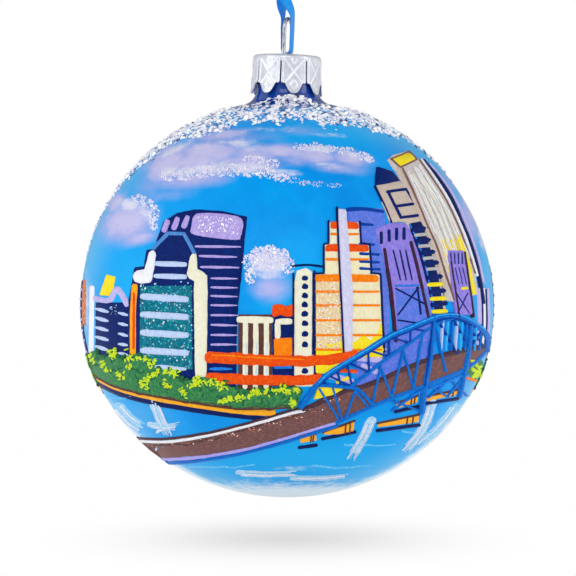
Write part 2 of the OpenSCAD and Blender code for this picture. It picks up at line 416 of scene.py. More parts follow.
def lathe(profile, steps):
    """A profile of (radius, height) turned round the ball's axis."""
    angles = np.linspace(0, 2 * math.pi, steps, endpoint=False) - math.pi / 2
    r, z = np.array(profile).T
    verts = np.stack([
        np.outer(r, np.cos(angles)), np.outer(r, np.sin(angles)), np.outer(z, np.ones(steps))
    ], 2).reshape(-1, 3)
    faces = [
        (a + (j + 1) % steps, a + j, a + steps + j, a + steps + (j + 1) % steps)
        for a in range(0, (len(r) - 1) * steps, steps) for j in range(steps)
    ]
    return verts, faces


def ball_material():
    """Glossy enamel on glass: a blue sky with lilac and white dabbed over it, a deep cobalt neck, and a
    painted highlight and painted reflections towards the outline.
    """
    n = Nodes("ball_enamel")
    broad = n.noise(0.05, 4, 0.6)
    streaks = n.noise(0.16, 5, 0.65, (0.35, 0.35, 1.6))
    dabs = n.noise(0.42, 4, 0.7, (0.6, 0.6, 1.2))
    fine = n.noise(2.6, 3, 0.7)
    base = n.mix(n.span(broad, 0.35, 0.65), srgb(0, 140, 228), srgb(0, 158, 240))
    base = n.mix(n.times(n.span(streaks, 0.5, 0.8), 0.35), base, srgb(20, 172, 246))
    # Lighter blue in soft spots: partly a painted highlight (the spots on the left side and at the top),
    # partly lighter paint.
    base = n.mix(n.attribute("bright"), base, srgb(28, 178, 246))
    # Paler blue: a painted reflection along the ball's outline, and a patch of paler paint low on the left.
    base = n.mix(n.attribute("pale"), base, srgb(112, 200, 242))

    def over(under, name, colour, low, high, field):
        mask = n.attribute(name)
        grain = n.math("SUBTRACT", n.plus(mask, n.times(field, 0.9)), 0.45)
        return n.mix(n.times(n.span(grain, low, high), n.span(mask, 0.02, 0.25)), under, colour)

    base = over(base, "lilac", srgb(168, 176, 232), 0.18, 0.85, broad)
    base = over(base, "lilac", srgb(198, 196, 236), 0.5, 1.0, dabs)
    base = over(base, "white", srgb(218, 220, 240), 0.30, 0.80, dabs)
    # Bluish white: a painted reflection along the lower outline, a whitening towards the bottom, and foam
    # dabs on the water.
    base = over(base, "foam_and_rim_reflection", srgb(222, 240, 253), 0.25, 0.75, dabs)
    base = n.mix(n.attribute("cobalt"), base, srgb(0, 62, 158))
    chalk = n.times(n.span(fine, 0.62, 0.8), 0.12)
    base = n.mix(chalk, base, (1, 1, 1))
    relief = n.plus(n.times(streaks, 0.8), n.times(dabs, 0.5))
    relief = n.plus(relief, n.times(n.attribute("white"), 0.6))
    n.set(
        Base_Color=base, Roughness=n.span(dabs, 0.3, 0.75, 0.32, 0.5), Specular_IOR_Level=0.06,
        Coat_Weight=n.attribute("cobalt"), Coat_Roughness=0.06,
        Normal=n.bump(relief, 0.12, 0.35),
    )
    return n.material


def glass_inside_material():
    """The inside of the glass, with the paint's colour showing through and a silvery bloom."""
    n = Nodes("glass_inside")
    cloud = n.noise(0.12, 4, 0.6)
    n.set(
        Base_Color=n.mix(n.span(cloud, 0.35, 0.7), srgb(120, 170, 205), srgb(170, 200, 220)),
        Roughness=n.span(cloud, 0.3, 0.7, 0.08, 0.22), Metallic=0.35, Normal=n.bump(cloud, 0.05, 0.2),
    )
    return n.material


def make_ball():
    outer, inner = ball_profile()
    verts, faces = lathe(outer, BALL_STEPS)
    made = new_object("ball", in_row(verts), faces, [ball_material()])
    limb_y = BALL_R ** 2 / EYE[1]
    folded = verts.copy()
    folded[:, 1] = np.where(verts[:, 1] > limb_y, 2 * limb_y - verts[:, 1], verts[:, 1])
    flat = front_view_of(folded)
    seen = np.interp(verts[:, 1], (limb_y, limb_y + FADE), (1, 0))
    seen = seen * seen * (3 - 2 * seen)
    x, y, z = verts.T
    turn = np.degrees(np.arctan2(x, -y))
    reach = np.where(flat[:, 1] > 0, 50.1, 46.4)
    edge = np.clip(np.sqrt((flat[:, 0] / 50.1) ** 2 + (flat[:, 1] / reach) ** 2), 0, 1)
    # A painted reflection that whitens the ball towards its outline as the front view sees it.
    painted_rim_reflection = np.clip((edge - 0.86) / 0.14, 0, 1) ** 1.6 * seen

    def billow(spots):
        """Several soft spots run together, with a ragged edge."""
        return np.maximum.reduce([share * soft_spot(flat, *place) for share, *place in spots])

    masks = {}
    masks["lilac"] = billow([
        (1.0, -29, 34.5, 8, 4.5, 38), (1.0, -19, 37.5, 11, 3.6, 4), (0.85, -8, 36.6, 9, 3.2, -4),
        (0.7, 2, 35.8, 7, 2.6, -6), (0.75, -24, 30.6, 12, 2.6, 6), (0.8, -16, 41.4, 12, 2.2, 6),
        (0.5, 4, 42.6, 9, 1.8, 0), (0.85, -1, 37.6, 12, 2.4, -5), (0.5, -33, 30, 7, 4, 30),
        (0.95, -23, 35, 12, 3, 6), (0.9, -10, 34.6, 11, 2.6, -2), (0.6, -14, 40.4, 17, 3, 5),
        (1.0, -39, 20.5, 8, 5.6, 20), (0.8, -36, 16.5, 6, 2.4, 8), (0.9, -41.5, 25, 4, 3.4, 50),
        (0.7, -4.5, 4.5, 6.5, 4.6, 0), (0.55, -4.6, 9, 6.5, 5, 0), (0.95, 7, 36.4, 7, 2.6, -3),
        (0.9, 15, 35.8, 6, 2.4, -10), (0.7, 12, 33.6, 10, 2, -6), (0.75, 44.5, 22, 3.2, 11, 17),
        (0.6, 40, 31, 3.4, 6, 34), (0.4, -30, 26.8, 10, 2, 4),
    ]) * seen
    masks["white"] = billow([
        (0.75, -26, 32.4, 6, 1.9, 6), (0.55, -9, 38, 7, 1.6, -4), (0.6, -48.8, 1, 1.8, 12, 0),
        (0.75, -18, 33.2, 7, 1.9, 4), (0.75, -10, 33.4, 6, 1.8, -2), (0.6, -3.5, 32.4, 4, 1.4, -12),
        (0.5, -35.5, 23.6, 4, 3, -50), (0.75, -4.2, 10, 4.6, 3.4, 0), (0.45, 9, 38, 7, 1.4, -4),
        (0.4, -20, 38.8, 6, 2, 6), (0.9, -20, 33.3, 10, 1.7, 4), (0.9, -9, 33.6, 8, 1.5, -2),
        (0.8, -28, 32.6, 4, 1.7, 8), (0.7, 0, 32.6, 5, 1.2, -10), (0.65, -27, 38.2, 7, 1.5, 26),
        (0.7, -12, 39.6, 8, 1.2, -2), (0.55, -5, 43, 10, 1.2, 0), (0.5, 10, 41.6, 9, 1.1, -4),
        (0.85, -38.5, 24.8, 3.8, 1.9, -8), (0.75, -34.2, 22.4, 2, 2.6, 20), (1.0, -6.4, 10.6, 3.8, 3.2, 0),
        (1.0, -2.4, 10.8, 3.8, 3, 0), (0.7, -4.4, 7.6, 5.4, 1.6, 0), (0.85, 8, 38.2, 5.5, 1.2, -2),
        (0.8, 15.5, 37, 4.5, 1.1, -14), (0.6, 10, 34.2, 7, 1, -4), (0.5, 7, 29.7, 8, 0.8, 1),
        (0.8, 43.6, 26.5, 1.4, 7, 25), (0.7, 47, 17, 1, 6, 12),
    ]) * seen
    # A painted reflection that whitens the lower outline as the front view sees it.
    painted_low_rim_reflection = np.clip((edge - 0.93) / 0.07, 0, 1) ** 2.2 * np.clip((-18 - flat[:, 1]) / 8, 0, 1) * seen
    # This mask holds the painted lower-rim reflection, a whitening towards the bottom and foam dabs on the
    # water.
    masks["foam_and_rim_reflection"] = np.maximum.reduce([
        0.85 * painted_low_rim_reflection, np.clip((-39.4 - flat[:, 1]) / 6.4, 0, 1) ** 1.3 * 0.9,
        0.3 * soft_spot(flat, -36, -31, 7, 2.6, -38) * (edge < 0.97),
        0.35 * soft_spot(flat, 36, -30, 6, 3, 50) * (edge < 0.97),
        0.4 * soft_spot(flat, 2, -39.4, 11, 1.1, 0),
    ])
    # The pale mask holds the painted rim reflection and a patch of paler paint low on the left.
    masks["pale"] = np.maximum(painted_rim_reflection * 0.7, 0.35 * soft_spot(flat, -36, -28, 9, 8, 0) * seen)
    # The bright mask is partly a painted highlight on the left side and at the top, partly lighter paint.
    masks["bright"] = np.maximum.reduce([
        0.9 * soft_spot(flat, -36, 2, 12, 22), 0.5 * soft_spot(flat, 2, 4, 14, 16),
        0.9 * soft_spot(flat, 4, -37, 34, 8), 0.7 * soft_spot(flat, 12, 42, 22, 4),
    ]) * seen
    for k in range(BACK_CLOUDS):
        lon, lat = rng.uniform(96, 264), rng.uniform(12, 40)
        d_lon = turn % 360 - lon
        size = rng.uniform(7, 16)
        spot = np.exp(-((d_lon / size) ** 2 + ((z - lat) / rng.uniform(1.4, 3.6)) ** 2)) * (1 - seen)
        name = "lilac" if k % 3 else "white"
        masks[name] = np.maximum(masks[name], 0.8 * spot)
    masks["cobalt"] = np.clip((z - 45) / 2, 0, 1) * np.clip((18 - np.hypot(x, y)) / 4, 0, 1)
    for name, values in masks.items():
        set_layer(made, name, "FLOAT", values)
    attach(made, "ball")
    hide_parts("glass_ball")
    verts, faces = lathe(inner, INSIDE_STEPS)
    inside = new_object("glass_inside", in_row(verts), faces, [glass_inside_material()])
    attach(inside, "ball")


make_ball()


# ---------------------------------------------------------------- glitter
def flake_material(name, colour, rough):
    n = Nodes(name)
    grain = n.noise(1.4, 2)
    n.set(
        Base_Color=n.mix(n.span(grain, 0.35, 0.65), colour, lighter(colour, -0.08)), Metallic=0.25,
        Roughness=n.span(grain, 0.3, 0.7, rough, rough + 0.14), Specular_IOR_Level=0.6,
        Normal=n.bump(n.noise(5, 2), 0.02, 0.3),
    )
    # A faint glow in each flake's own colour: painted light that brightens the glitter like a glint.
    n.shader.inputs["Emission Color"].default_value = (*colour[:3], 1)
    n.shader.inputs["Emission Strength"].default_value = 0.14
    return n.material


FLAKES = {  # colour and roughness
    "white": ((255, 255, 255), 0.2), "silver": ((222, 227, 240), 0.15), "grey": ((140, 150, 180), 0.2),
    "dark": ((66, 76, 110), 0.25), "sky": ((120, 196, 240), 0.2), "copper": ((226, 140, 96), 0.2),
    "teal": ((40, 170, 176), 0.2), "lilac": ((214, 190, 240), 0.2), "pearl": ((236, 232, 250), 0.3),
}
GLITTER = {
    name: flake_material("flake_" + name, srgb(*colour), rough) for name, (colour, rough) in FLAKES.items()
}


def make_flakes(name, places, normals, sizes, kinds, tilt=26.0, thick=0.07):
    """Small six-sided foil flakes laid on a surface, each tilted a little, as one piece."""
    names = sorted(set(kinds))
    count = len(places)
    up = unit(unit(normals) + rng.normal(0, math.tan(math.radians(tilt)), (count, 3)))
    side = unit(np.cross(up, rng.normal(size=(count, 3))))
    other = np.cross(up, side)
    corners = np.radians(np.arange(0, 360, 60))
    radii = 0.5 * np.asarray(sizes)[:, None] * rng.uniform(0.82, 1.12, (count, 6))
    ring = places[:, None] + radii[:, :, None] * (
        np.cos(corners)[None, :, None] * side[:, None] + np.sin(corners)[None, :, None] * other[:, None]
    )
    top = ring + up[:, None] * thick
    verts = np.concatenate([ring, top], 1).reshape(-1, 3)
    faces, indices = [], []
    for i in range(count):
        a = i * 12
        faces.append(tuple(a + 6 + k for k in range(6)))
        faces += [(a + k, a + (k + 1) % 6, a + 6 + (k + 1) % 6, a + 6 + k) for k in range(6)]
        indices += [names.index(kinds[i])] * 7
    return new_object(name, in_row(verts), faces, [GLITTER[k] for k in names], indices, smooth=False)


FLAKE_TRIES = 15500
FRONT_TURN = 1.75  # flakes turned further than this from the front, in radians, are in the back piece
# Where the glitter's lower edge runs: turns from the front in degrees, and heights above the ball's middle.
EDGE_TURNS = (-180, -150, -120, -102, -90, -75, -56, -25, 0, 25, 45, 70, 84, 94, 120, 150, 180)
EDGE_HEIGHTS = (34, 30, 22, 9, 12, 31, 39.5, 43.6, 44.6, 44, 42.8, 40.4, 34, 30, 31, 34, 34)


def collar_place():
    """A random place in the glitter: turn from the front, height, and depth above its lower edge."""
    while True:
        turn = rng.uniform(-180, 180)
        z = rng.uniform(8, 53)
        edge = np.interp(turn, EDGE_TURNS, EDGE_HEIGHTS)
        edge += 0.7 * math.sin(turn * 0.21) + 0.5 * math.sin(turn * 0.47 + 1)
        depth = z - edge
        if depth > 0 or rng.uniform() < math.exp(-((depth / 0.9) ** 2)) * 0.6:
            return math.radians(turn), z, depth


def shoulder_point(z, turn, heap):
    """A point heap millimetres above the ball at a height, and its normal."""
    joint = FILLET_Z * UPPER_H / (UPPER_H + NECK_FILLET)
    if z > joint:
        s = min(1.0, (FILLET_Z - z) / NECK_FILLET) if z < FILLET_Z else 0.0
        c = math.sqrt(1 - s * s)
        r, n_r, n_z = FILLET_X - NECK_FILLET * c, c, s
    else:
        r = float(profile_radius(z))
        n_r, n_z = r / BALL_R, z / UPPER_H
    r, z = r + n_r * heap, z + n_z * heap
    return (r * math.sin(turn), -r * math.cos(turn), z), (n_r * math.sin(turn), -n_r * math.cos(turn), n_z)


def make_collar_glitter():
    """Coarse silver glitter round the neck's foot, heaped at the front and running down both sides."""
    piles = {"glitter_collar_flakes": ([], [], [], []), "glitter_back_flakes": ([], [], [], [])}
    shades = ["white"] * 17 + ["pearl"] * 4 + ["silver"] * 6 + ["grey"] * 2 + ["dark"]
    for i in range(FLAKE_TRIES):
        turn, z, depth = collar_place()
        if rng.uniform() > (1.0 if z < 46 else 0.55):
            continue
        heaped = math.exp(-((math.degrees(turn) - 2) / 30) ** 2)
        top = 47.3 + 3.1 * heaped + 0.25 * math.sin(7 * turn)
        if z > top:
            continue
        heap = 0.18 + (1.35 * heaped + 0.35) * math.exp(-((z - 48.6) / 1.5) ** 2)
        fade = np.interp(abs(math.degrees(turn)), (60, 95), (1, 0.75))
        if depth < 10 and z < 40 and rng.uniform() > 0.35 + 0.65 * min(1, depth / 9) * fade:
            continue
        p, n = shoulder_point(z, turn, rng.uniform(0.02, 1) * heap)
        size = rng.uniform(0.6, 1.25) * (1.15 if z > 46 else 1)
        pile = piles["glitter_collar_flakes" if abs(turn) < FRONT_TURN else "glitter_back_flakes"]
        for column, value in zip(pile, (p, n, size, shades[rng.integers(len(shades))])):
            column.append(value)
    for name, (places, normals, sizes, kinds) in piles.items():
        made = make_flakes(name, np.array(places), np.array(normals), sizes, kinds, tilt=18)
        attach(made, "ball")
        if name == "glitter_collar_flakes":
            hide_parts("glitter_collar")


make_collar_glitter()


# ---------------------------------------------------------------- enamel colours
# Each colour has a second one that the brush drags through it, and how much of it shows.
ENAMELS = {
    "navy": ((0, 26, 96), (4, 48, 132), 0.55),
    "navy_line": ((4, 26, 88), (10, 40, 110), 0.5),
    "lilac_window": ((172, 154, 224), (204, 190, 240), 0.6),
    "lilac": ((186, 178, 232), (214, 208, 244), 0.6),
    "cloud_white": ((222, 224, 244), (248, 250, 255), 0.7),
    "white": ((240, 242, 248), (215, 222, 240), 0.5),
    "pale_blue": ((182, 204, 242), (214, 226, 248), 0.6),
    "cream": ((232, 230, 204), (250, 248, 232), 0.6),
    "ivory": ((234, 226, 184), (250, 242, 212), 0.7),
    "teal": ((0, 104, 128), (20, 150, 165), 0.7),
    "orange": ((246, 122, 8), (255, 160, 30), 0.6),
    "red_orange": ((232, 72, 10), (246, 112, 24), 0.6),
    "yellow": ((244, 222, 20), (252, 238, 90), 0.5),
    "gold": ((232, 200, 50), (244, 222, 110), 0.7),
    "copper": ((212, 128, 92), (236, 168, 120), 0.6),
    "green": ((44, 118, 74), (84, 160, 84), 0.75),
    "leaf": ((196, 226, 34), (232, 246, 80), 0.6),
    "leaf_dark": ((30, 92, 62), (60, 128, 72), 0.6),
    "bank_brown": ((86, 54, 52), (112, 74, 62), 0.6),
    "bank_gold": ((252, 170, 30), (255, 196, 70), 0.6),
    "road": ((112, 76, 76), (142, 100, 94), 0.75),
    "road_edge": ((72, 48, 60), (96, 66, 72), 0.6),
    "rail_lilac": ((168, 160, 238), (196, 190, 246), 0.5),
    "bridge": ((0, 104, 200), (20, 132, 226), 0.6),
    "bridge_dark": ((0, 58, 156), (0, 84, 184), 0.6),
    "bright_blue": ((20, 120, 226), (60, 160, 244), 0.5),
    "cloud_pale": ((202, 202, 236), (222, 222, 242), 0.7),
    "foam_pale": ((168, 208, 240), (214, 230, 248), 0.9),
    "pylon": ((204, 204, 234), (232, 232, 248), 0.6),
    "water_shade": ((188, 214, 226), (222, 232, 224), 0.8),
    "foam_blue": ((132, 200, 240), (190, 224, 246), 0.8),
    "violet_blue": ((84, 118, 222), (128, 134, 232), 0.7),
    "purple": ((138, 122, 220), (168, 150, 234), 0.6),
    "plum": ((52, 30, 52), (84, 54, 78), 0.5),
    "tan": ((198, 180, 168), (222, 206, 190), 0.7),
    "grey_bar": ((182, 180, 182), (206, 204, 204), 0.5),
    "streak": ((214, 208, 206), (178, 164, 160), 0.8),
    "brown_line": ((122, 90, 84), (150, 116, 104), 0.6),
    "tan_glitter": ((226, 202, 156), (244, 226, 184), 0.8),
    "water_line": ((80, 190, 246), (150, 216, 250), 0.7),
    "sky_line": ((30, 170, 246), (90, 196, 250), 0.6),
    "crown": ((70, 134, 206), (110, 160, 220), 0.5),
    "amber": ((254, 164, 0), (255, 190, 40), 0.5),
}
PAINTS = {}


def enamel(name):
    """A hand-brushed enamel colour, made once."""
    if name in PAINTS:
        return PAINTS[name]
    colour, dragged, amount = ENAMELS[name]
    n = Nodes("enamel_" + name)
    stretch = (3.2, 3.2, 0.5) if name in ("streak", "tan", "ivory", "tan_glitter") else (1.3, 1.3, 1.0)
    brush = n.noise(1.1, 4, 0.65, stretch)
    fine = n.noise(4.5, 3, 0.6)
    pool = n.noise(0.35, 2, 0.5)
    base = n.mix(n.times(n.span(brush, 0.42, 0.68), amount), srgb(*colour), srgb(*dragged))
    base = n.mix(n.times(n.span(pool, 0.5, 0.8), 0.25), base, lighter(srgb(*colour), -0.25))
    base = n.mix(n.times(n.span(fine, 0.66, 0.8), 0.18), base, lighter(srgb(*dragged), 0.4))
    height = n.plus(n.times(brush, 0.7), n.times(fine, 0.3))
    n.set(
        Base_Color=base, Roughness=n.span(brush, 0.3, 0.7, 0.36, 0.55), Specular_IOR_Level=0.07,
        Normal=n.bump(height, 0.09, 0.5),
    )
    PAINTS[name] = n.material
    return n.material


# ---------------------------------------------------------------- brushwork
EDGE = 0.16  # how far in from its outline a patch of paint reaches its full height
SUNK = -0.04  # where a stroke's edge dips under the surface
QUARTER = BALL_R * math.pi / 2  # arc length of a quarter of the equator


def coat_top(level):
    """The height of a paint level above the ball."""
    return 0.05 + 0.075 * level


def catmull(points, spacing, closed=False):
    """A smooth line through points, with a point about every spacing millimetres."""
    points = [np.array(p, float) for p in points]
    n = len(points)
    if n == 2:
        whole = points[1] - points[0]
        steps = max(2, int(np.linalg.norm(whole) / spacing) + 1)
        return np.array([points[0] + whole * t for t in np.linspace(0, 1, steps)])
    out = []
    for i in range(n if closed else n - 1):
        a, b, c, d = (points[(i + k) % n if closed else min(max(i + k, 0), n - 1)] for k in (-1, 0, 1, 2))
        steps = max(1, int(math.ceil(np.linalg.norm(c - b) / spacing)))
        for t in np.linspace(0, 1, steps, endpoint=False):
            out.append(0.5 * (2 * b + (c - a) * t + (2 * a - 5 * b + 4 * c - d) * t**2
                              + (3 * b - a - 3 * c + d) * t**3))
    if not closed:
        out.append(points[-1])
    return np.array(out)


def evenly(points, spacing):
    """The closed outline with straight sides and a point about every spacing millimetres."""
    out = []
    for a, b in zip(points, list(points[1:]) + [points[0]]):
        a, b = np.array(a, float), np.array(b, float)
        steps = max(1, int(math.ceil(np.linalg.norm(b - a) / spacing)))
        out += [a + (b - a) * t for t in np.linspace(0, 1, steps, endpoint=False)]
    return np.array(out)


def distance_to(points, outline):
    """Each point's distance to a closed outline."""
    a, b = outline, np.roll(outline, -1, axis=0)
    d = b - a
    span = np.maximum((d * d).sum(1), 1e-12)
    best = np.full(len(points), 1e9)
    for start in range(0, len(points), 4000):
        p = points[start:start + 4000, None]
        t = np.clip(((p - a) * d).sum(2) / span, 0, 1)
        best[start:start + 4000] = np.linalg.norm(p - (a + d * t[:, :, None]), axis=2).min(1)
    return best


def inside(points, outline):
    """Whether each point is inside a closed outline."""
    x, y = points[:, 0, None], points[:, 1, None]
    a, b = outline, np.roll(outline, -1, axis=0)
    crosses = (a[:, 1] > y) != (b[:, 1] > y)
    rise = np.where(b[:, 1] == a[:, 1], 1e-12, b[:, 1] - a[:, 1])
    at = a[:, 0] + (y - a[:, 1]) / rise * (b[:, 0] - a[:, 0])
    return (crosses & (x < at)).sum(1) % 2 == 1


class Painting:
    """Raised brushwork on the ball: shapes laid one over another, each higher than what it covers."""

    def __init__(self, name, carry=front, grid=1.7):
        self.name, self.carry, self.grid = name, carry, grid
        self.verts, self.faces, self.indices, self.colours = [], [], [], []

    def colour_index(self, colour):
        if colour not in self.colours:
            self.colours.append(colour)
        return self.colours.index(colour)

    def lay(self, flat, lift, faces, colour):
        start = sum(len(v) for v in self.verts)
        self.verts.append(self.carry(np.asarray(flat), lift))
        self.faces += [tuple(int(k) + start for k in f) for f in faces]
        self.indices += [self.colour_index(colour)] * len(faces)

    def fill(self, points, colour, level=1, smooth=False, wobble=0.05, edge=EDGE):
        """A patch of paint with a rounded edge."""
        outline = catmull(points, 0.6, True) if smooth else evenly(points, 0.6)
        phase = rng.uniform(0, 40, 2)
        shake = np.array([
            (noise.noise((x * 0.7 + phase[0], z * 0.7, 0)), noise.noise((x * 0.7, z * 0.7 + phase[1], 9)))
            for x, z in outline
        ])
        outline = outline + wobble * 2 * shake
        ahead = np.roll(outline, -1, axis=0)
        area = 0.5 * (outline[:, 0] * ahead[:, 1] - outline[:, 1] * ahead[:, 0]).sum()
        if area < 0:
            outline = outline[::-1]
        along = np.roll(outline, -1, axis=0) - np.roll(outline, 1, axis=0)
        inward = unit(np.stack([-along[:, 1], along[:, 0]], 1), 1e-9)
        top = coat_top(level)
        flat, lift = [outline], [np.full(len(outline), SUNK)]
        for share, rise in ((0.3, 0.72), (1.0, 1.0)):
            ring = outline + inward * edge * share
            ok = inside(ring, outline) & (distance_to(ring, outline) > edge * share * 0.9)
            flat.append(ring[ok])
            lift.append(np.full(ok.sum(), top * rise))
        low, high = outline.min(0), outline.max(0)
        grid = grid_over(low, high, self.grid, self.grid)
        if len(grid):
            grid = grid + rng.uniform(-0.2, 0.2, grid.shape) * self.grid
            ok = inside(grid, outline) & (distance_to(grid, outline) > edge + 0.3)
            flat.append(grid[ok])
            lift.append(np.full(ok.sum(), top))
        flat, lift = np.concatenate(flat), np.concatenate(lift)
        flat, faces, origins = triangles(flat, len(outline))
        where = np.array([origin[0] if origin else 0 for origin in origins])
        self.lay(flat, lift[where], faces, colour)

    def line(self, points, width, colour, level=2, taper=0.0, straight=False, wobble=0.03, belly=0.0):
        """A brush stroke with round ends, thinner by taper at its end and fuller by belly in its middle."""
        path = catmull(points, 0.45) if not straight else np.concatenate(
            [catmull([points[i], points[i + 1]], 0.6)[:-1] for i in range(len(points) - 1)] + [[points[-1]]]
        )
        path = np.array(path, float)
        phase = rng.uniform(0, 40)
        gone = np.concatenate([[0], np.cumsum(np.linalg.norm(np.diff(path, axis=0), axis=1))])
        total = gone[-1]
        along = unit(np.gradient(path, axis=0), 1e-9)
        out = np.stack([-along[:, 1], along[:, 0]], 1)
        half = width / 2
        rounding = np.radians(np.arange(15, 90, 25))
        cap, reach = np.sin(rounding), half * (1 - np.cos(rounding))
        start = [path[0] - along[0] * (half - r) for r in reach]
        end = [path[-1] + along[-1] * (half - r) for r in reach[::-1]]
        centres = np.concatenate([start, path, end])
        outs = np.concatenate([[out[0]] * len(reach), out, [out[-1]] * len(reach)])
        share = np.concatenate([[0] * len(reach), gone / max(total, 1e-9), [1] * len(reach)])
        size = np.concatenate([cap, np.ones(len(path)), cap[::-1]])
        hand = np.array([1 + 0.12 * noise.noise((p[0] * 0.5 + phase, p[1] * 0.5, 3)) for p in centres])
        shake = np.array([noise.noise((p[0] * 0.35, p[1] * 0.35 + phase, 5)) for p in centres])
        size = size * hand * (1 - taper * share) * (1 - belly * np.abs(2 * share - 1) ** 2)
        centres = centres + outs * (shake * wobble * 2)[:, None]
        top = coat_top(level)
        across = np.array([-1, -0.72, 0, 0.72, 1])
        rise = np.array([SUNK, top * 0.85, top + 0.02, top * 0.85, SUNK])
        offsets = outs[:, None] * (across[None, :, None] * half * size[:, None, None])
        flat = (centres[:, None] + offsets).reshape(-1, 2)
        lift = np.tile(rise, (len(centres), 1))
        lift[0] = lift[-1] = SUNK
        k = len(across)
        faces = [
            (i * k + j, (i + 1) * k + j, (i + 1) * k + j + 1, i * k + j + 1)
            for i in range(len(centres) - 1) for j in range(k - 1)
        ]
        self.lay(flat, lift.ravel(), faces, colour)

    def lines(self, paths, *how, **more):
        """Several strokes made the same way."""
        for path in paths:
            self.line(path, *how, **more)

    def dab(self, x, z, reach, turn, width, colour, level):
        """One short touch of the brush, reaching both ways from its middle."""
        dx, dz = reach * math.cos(turn), reach * math.sin(turn)
        self.line([(x - dx, z - dz), (x + dx, z + dz)], width, colour, level, straight=True)

    def bars(self, x0, x1, heights, thick, colour, level=3, taper=0.0, slope=-0.02, belly=0.35):
        for z in heights:
            drop = slope * (x1 - x0) + rng.uniform(-0.1, 0.1)
            self.line([(x0, z - drop / 2), (x1, z + drop / 2)], thick, colour, level, taper, straight=True,
                belly=belly)

    def stipple(self, spots, count, size, colours, level=2):
        """Many small dabs in soft ellipses (x, z, half width, half height), thickest in the middle."""
        for k in range(count):
            x, z, rx, rz = spots[rng.integers(len(spots))]
            a, d = rng.uniform(0, 2 * math.pi), math.sqrt(rng.uniform()) ** 0.8
            x, z = x + rx * d * math.cos(a), z + rz * d * math.sin(a)
            s, t = size * rng.uniform(0.5, 1.0), rng.uniform(0, math.pi)
            colour = colours[rng.integers(len(colours))]
            self.dab(x, z, 0.3 * s, t, s * 0.8, colour, level + rng.uniform(0, 0.6))

    def dots(self, points, size, colour, level=3, spread=0.0, count=1):
        """Short round dabs of the brush."""
        for x, z in points:
            for k in range(count):
                dx, dz = rng.normal(0, spread or 1e-6, 2)
                a = rng.uniform(0, math.pi)
                d = size * rng.uniform(0.25, 0.5)
                width = size * rng.uniform(0.75, 1.15)
                self.dab(x + dx, z + dz, d, a, width, colour, level + 0.4 * rng.uniform())

    def build(self):
        """The painting as one piece on the ball, with every face looking away from the ball's centre."""
        points, paints = in_row(np.concatenate(self.verts)), [enamel(c) for c in self.colours]
        made = new_object(self.name, points, self.faces, paints, self.indices)
        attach(made, "ball")
        mesh, centre = made.data, Vector(CENTRE)
        for p in [p for p in mesh.polygons if p.normal.dot(p.center - centre) < 0]:
            p.flip()
        mesh.update()
        return made


def sparkle(spots, count, size, kinds, level=3, outline=None):
    """Fine glitter on the wet paint, in soft ellipses or an outline: its places, sizes, kinds and level."""
    places = []
    while len(places) < count:
        if outline is not None:
            q = rng.uniform(np.min(outline, 0), np.max(outline, 0))
            if inside(q[None], np.array(outline, float))[0]:
                places.append(q)
        else:
            x, z, rx, rz = spots[rng.integers(len(spots))]
            a, d = rng.uniform(0, 2 * math.pi), math.sqrt(rng.uniform())
            places.append(np.array([x + rx * d * math.cos(a), z + rz * d * math.sin(a)]))
    sizes = [size * rng.uniform(0.6, 1.2) for k in range(count)]
    return places, sizes, [kinds[rng.integers(len(kinds))] for k in range(count)], level


def make_sparkles(name, groups):
    places = front(
        np.array([q for g in groups for q in g[0]]), np.array([coat_top(g[3]) for g in groups for q in g[0]])
    )
    sizes, kinds = [v for g in groups for v in g[1]], [k for g in groups for k in g[2]]
    made = make_flakes(name, places, normals_at(places), sizes, kinds, tilt=22, thick=0.04)
    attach(made, "ball")


# ---------------------------------------------------------------- the picture: clouds
# Soft ellipses (x, z, half width, half height) along the clouds' edges.
CLOUD_EDGES = {
    "long": [
        (-29, 31.6, 2.4, 1.2), (-25, 31.8, 2.6, 1.3), (-21, 32.4, 2.6, 1.4), (-17, 32.9, 2.6, 1.5),
        (-13, 33, 2.6, 1.5), (-9, 32.8, 2.6, 1.4), (-5, 32.2, 2.4, 1.3), (-1.6, 31.2, 2, 0.9),
        (-8, 35.6, 3, 1), (-4, 34.6, 2.4, 1),
    ],
    "left": [(-33.8, 24.8, 1.5, 1.2), (-32.4, 22.8, 1.4, 1.8), (-32.3, 20, 1.2, 1.6), (-36, 26.2, 1.8, 0.9)],
    "round": [
        (-9, 10.6, 1.9, 2), (-7, 12.8, 1.9, 1.5), (-4, 13.4, 2.2, 1.4), (-1.4, 12.4, 1.9, 1.6),
        (0.3, 9.8, 1.5, 2), (-9, 7, 1.4, 1.8), (-5, 10.4, 2.8, 1.8),
    ],
    "right": [
        (3, 38.6, 1.8, 0.9), (6.5, 38.8, 2.2, 0.9), (10.5, 38.2, 2.4, 0.9), (14.4, 37.6, 2.2, 0.9),
        (18, 36.5, 1.9, 0.9), (20, 35.6, 1.2, 0.7),
    ],
    "specks": [(1.5, 30.6, 1.6, 0.8), (4.2, 29.9, 1.4, 0.6), (7.2, 29.6, 1.6, 0.8), (11.4, 29.3, 1.8, 0.5)],
}


def paint_clouds():
    """Dabbed cloud edges over the airbrushed bodies, and glitter sprinkled in them."""
    p = Painting("picture_clouds")
    whites = ["cloud_white", "cloud_white", "cloud_pale"]
    dabs = (("long", 300, 0.6), ("left", 90, 0.6), ("round", 260, 0.65), ("right", 130, 0.55))
    for cloud, count, size in dabs:
        p.stipple(CLOUD_EDGES[cloud], count, size, whites, 0.6)
    p.stipple(CLOUD_EDGES["specks"], 90, 0.3, whites[1:], 0.6)
    made = p.build()
    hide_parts("cloud_relief")
    tones = ["white", "pearl", "lilac", "pearl", "silver"]
    make_sparkles("cloud_sparkle", [
        sparkle(CLOUD_EDGES[cloud], count, size, tones, level) for cloud, count, size, level in (
            ("long", 260, 0.34, 1), ("left", 70, 0.34, 1), ("round", 240, 0.36, 1.5), ("right", 90, 0.32, 1)
        )
    ])


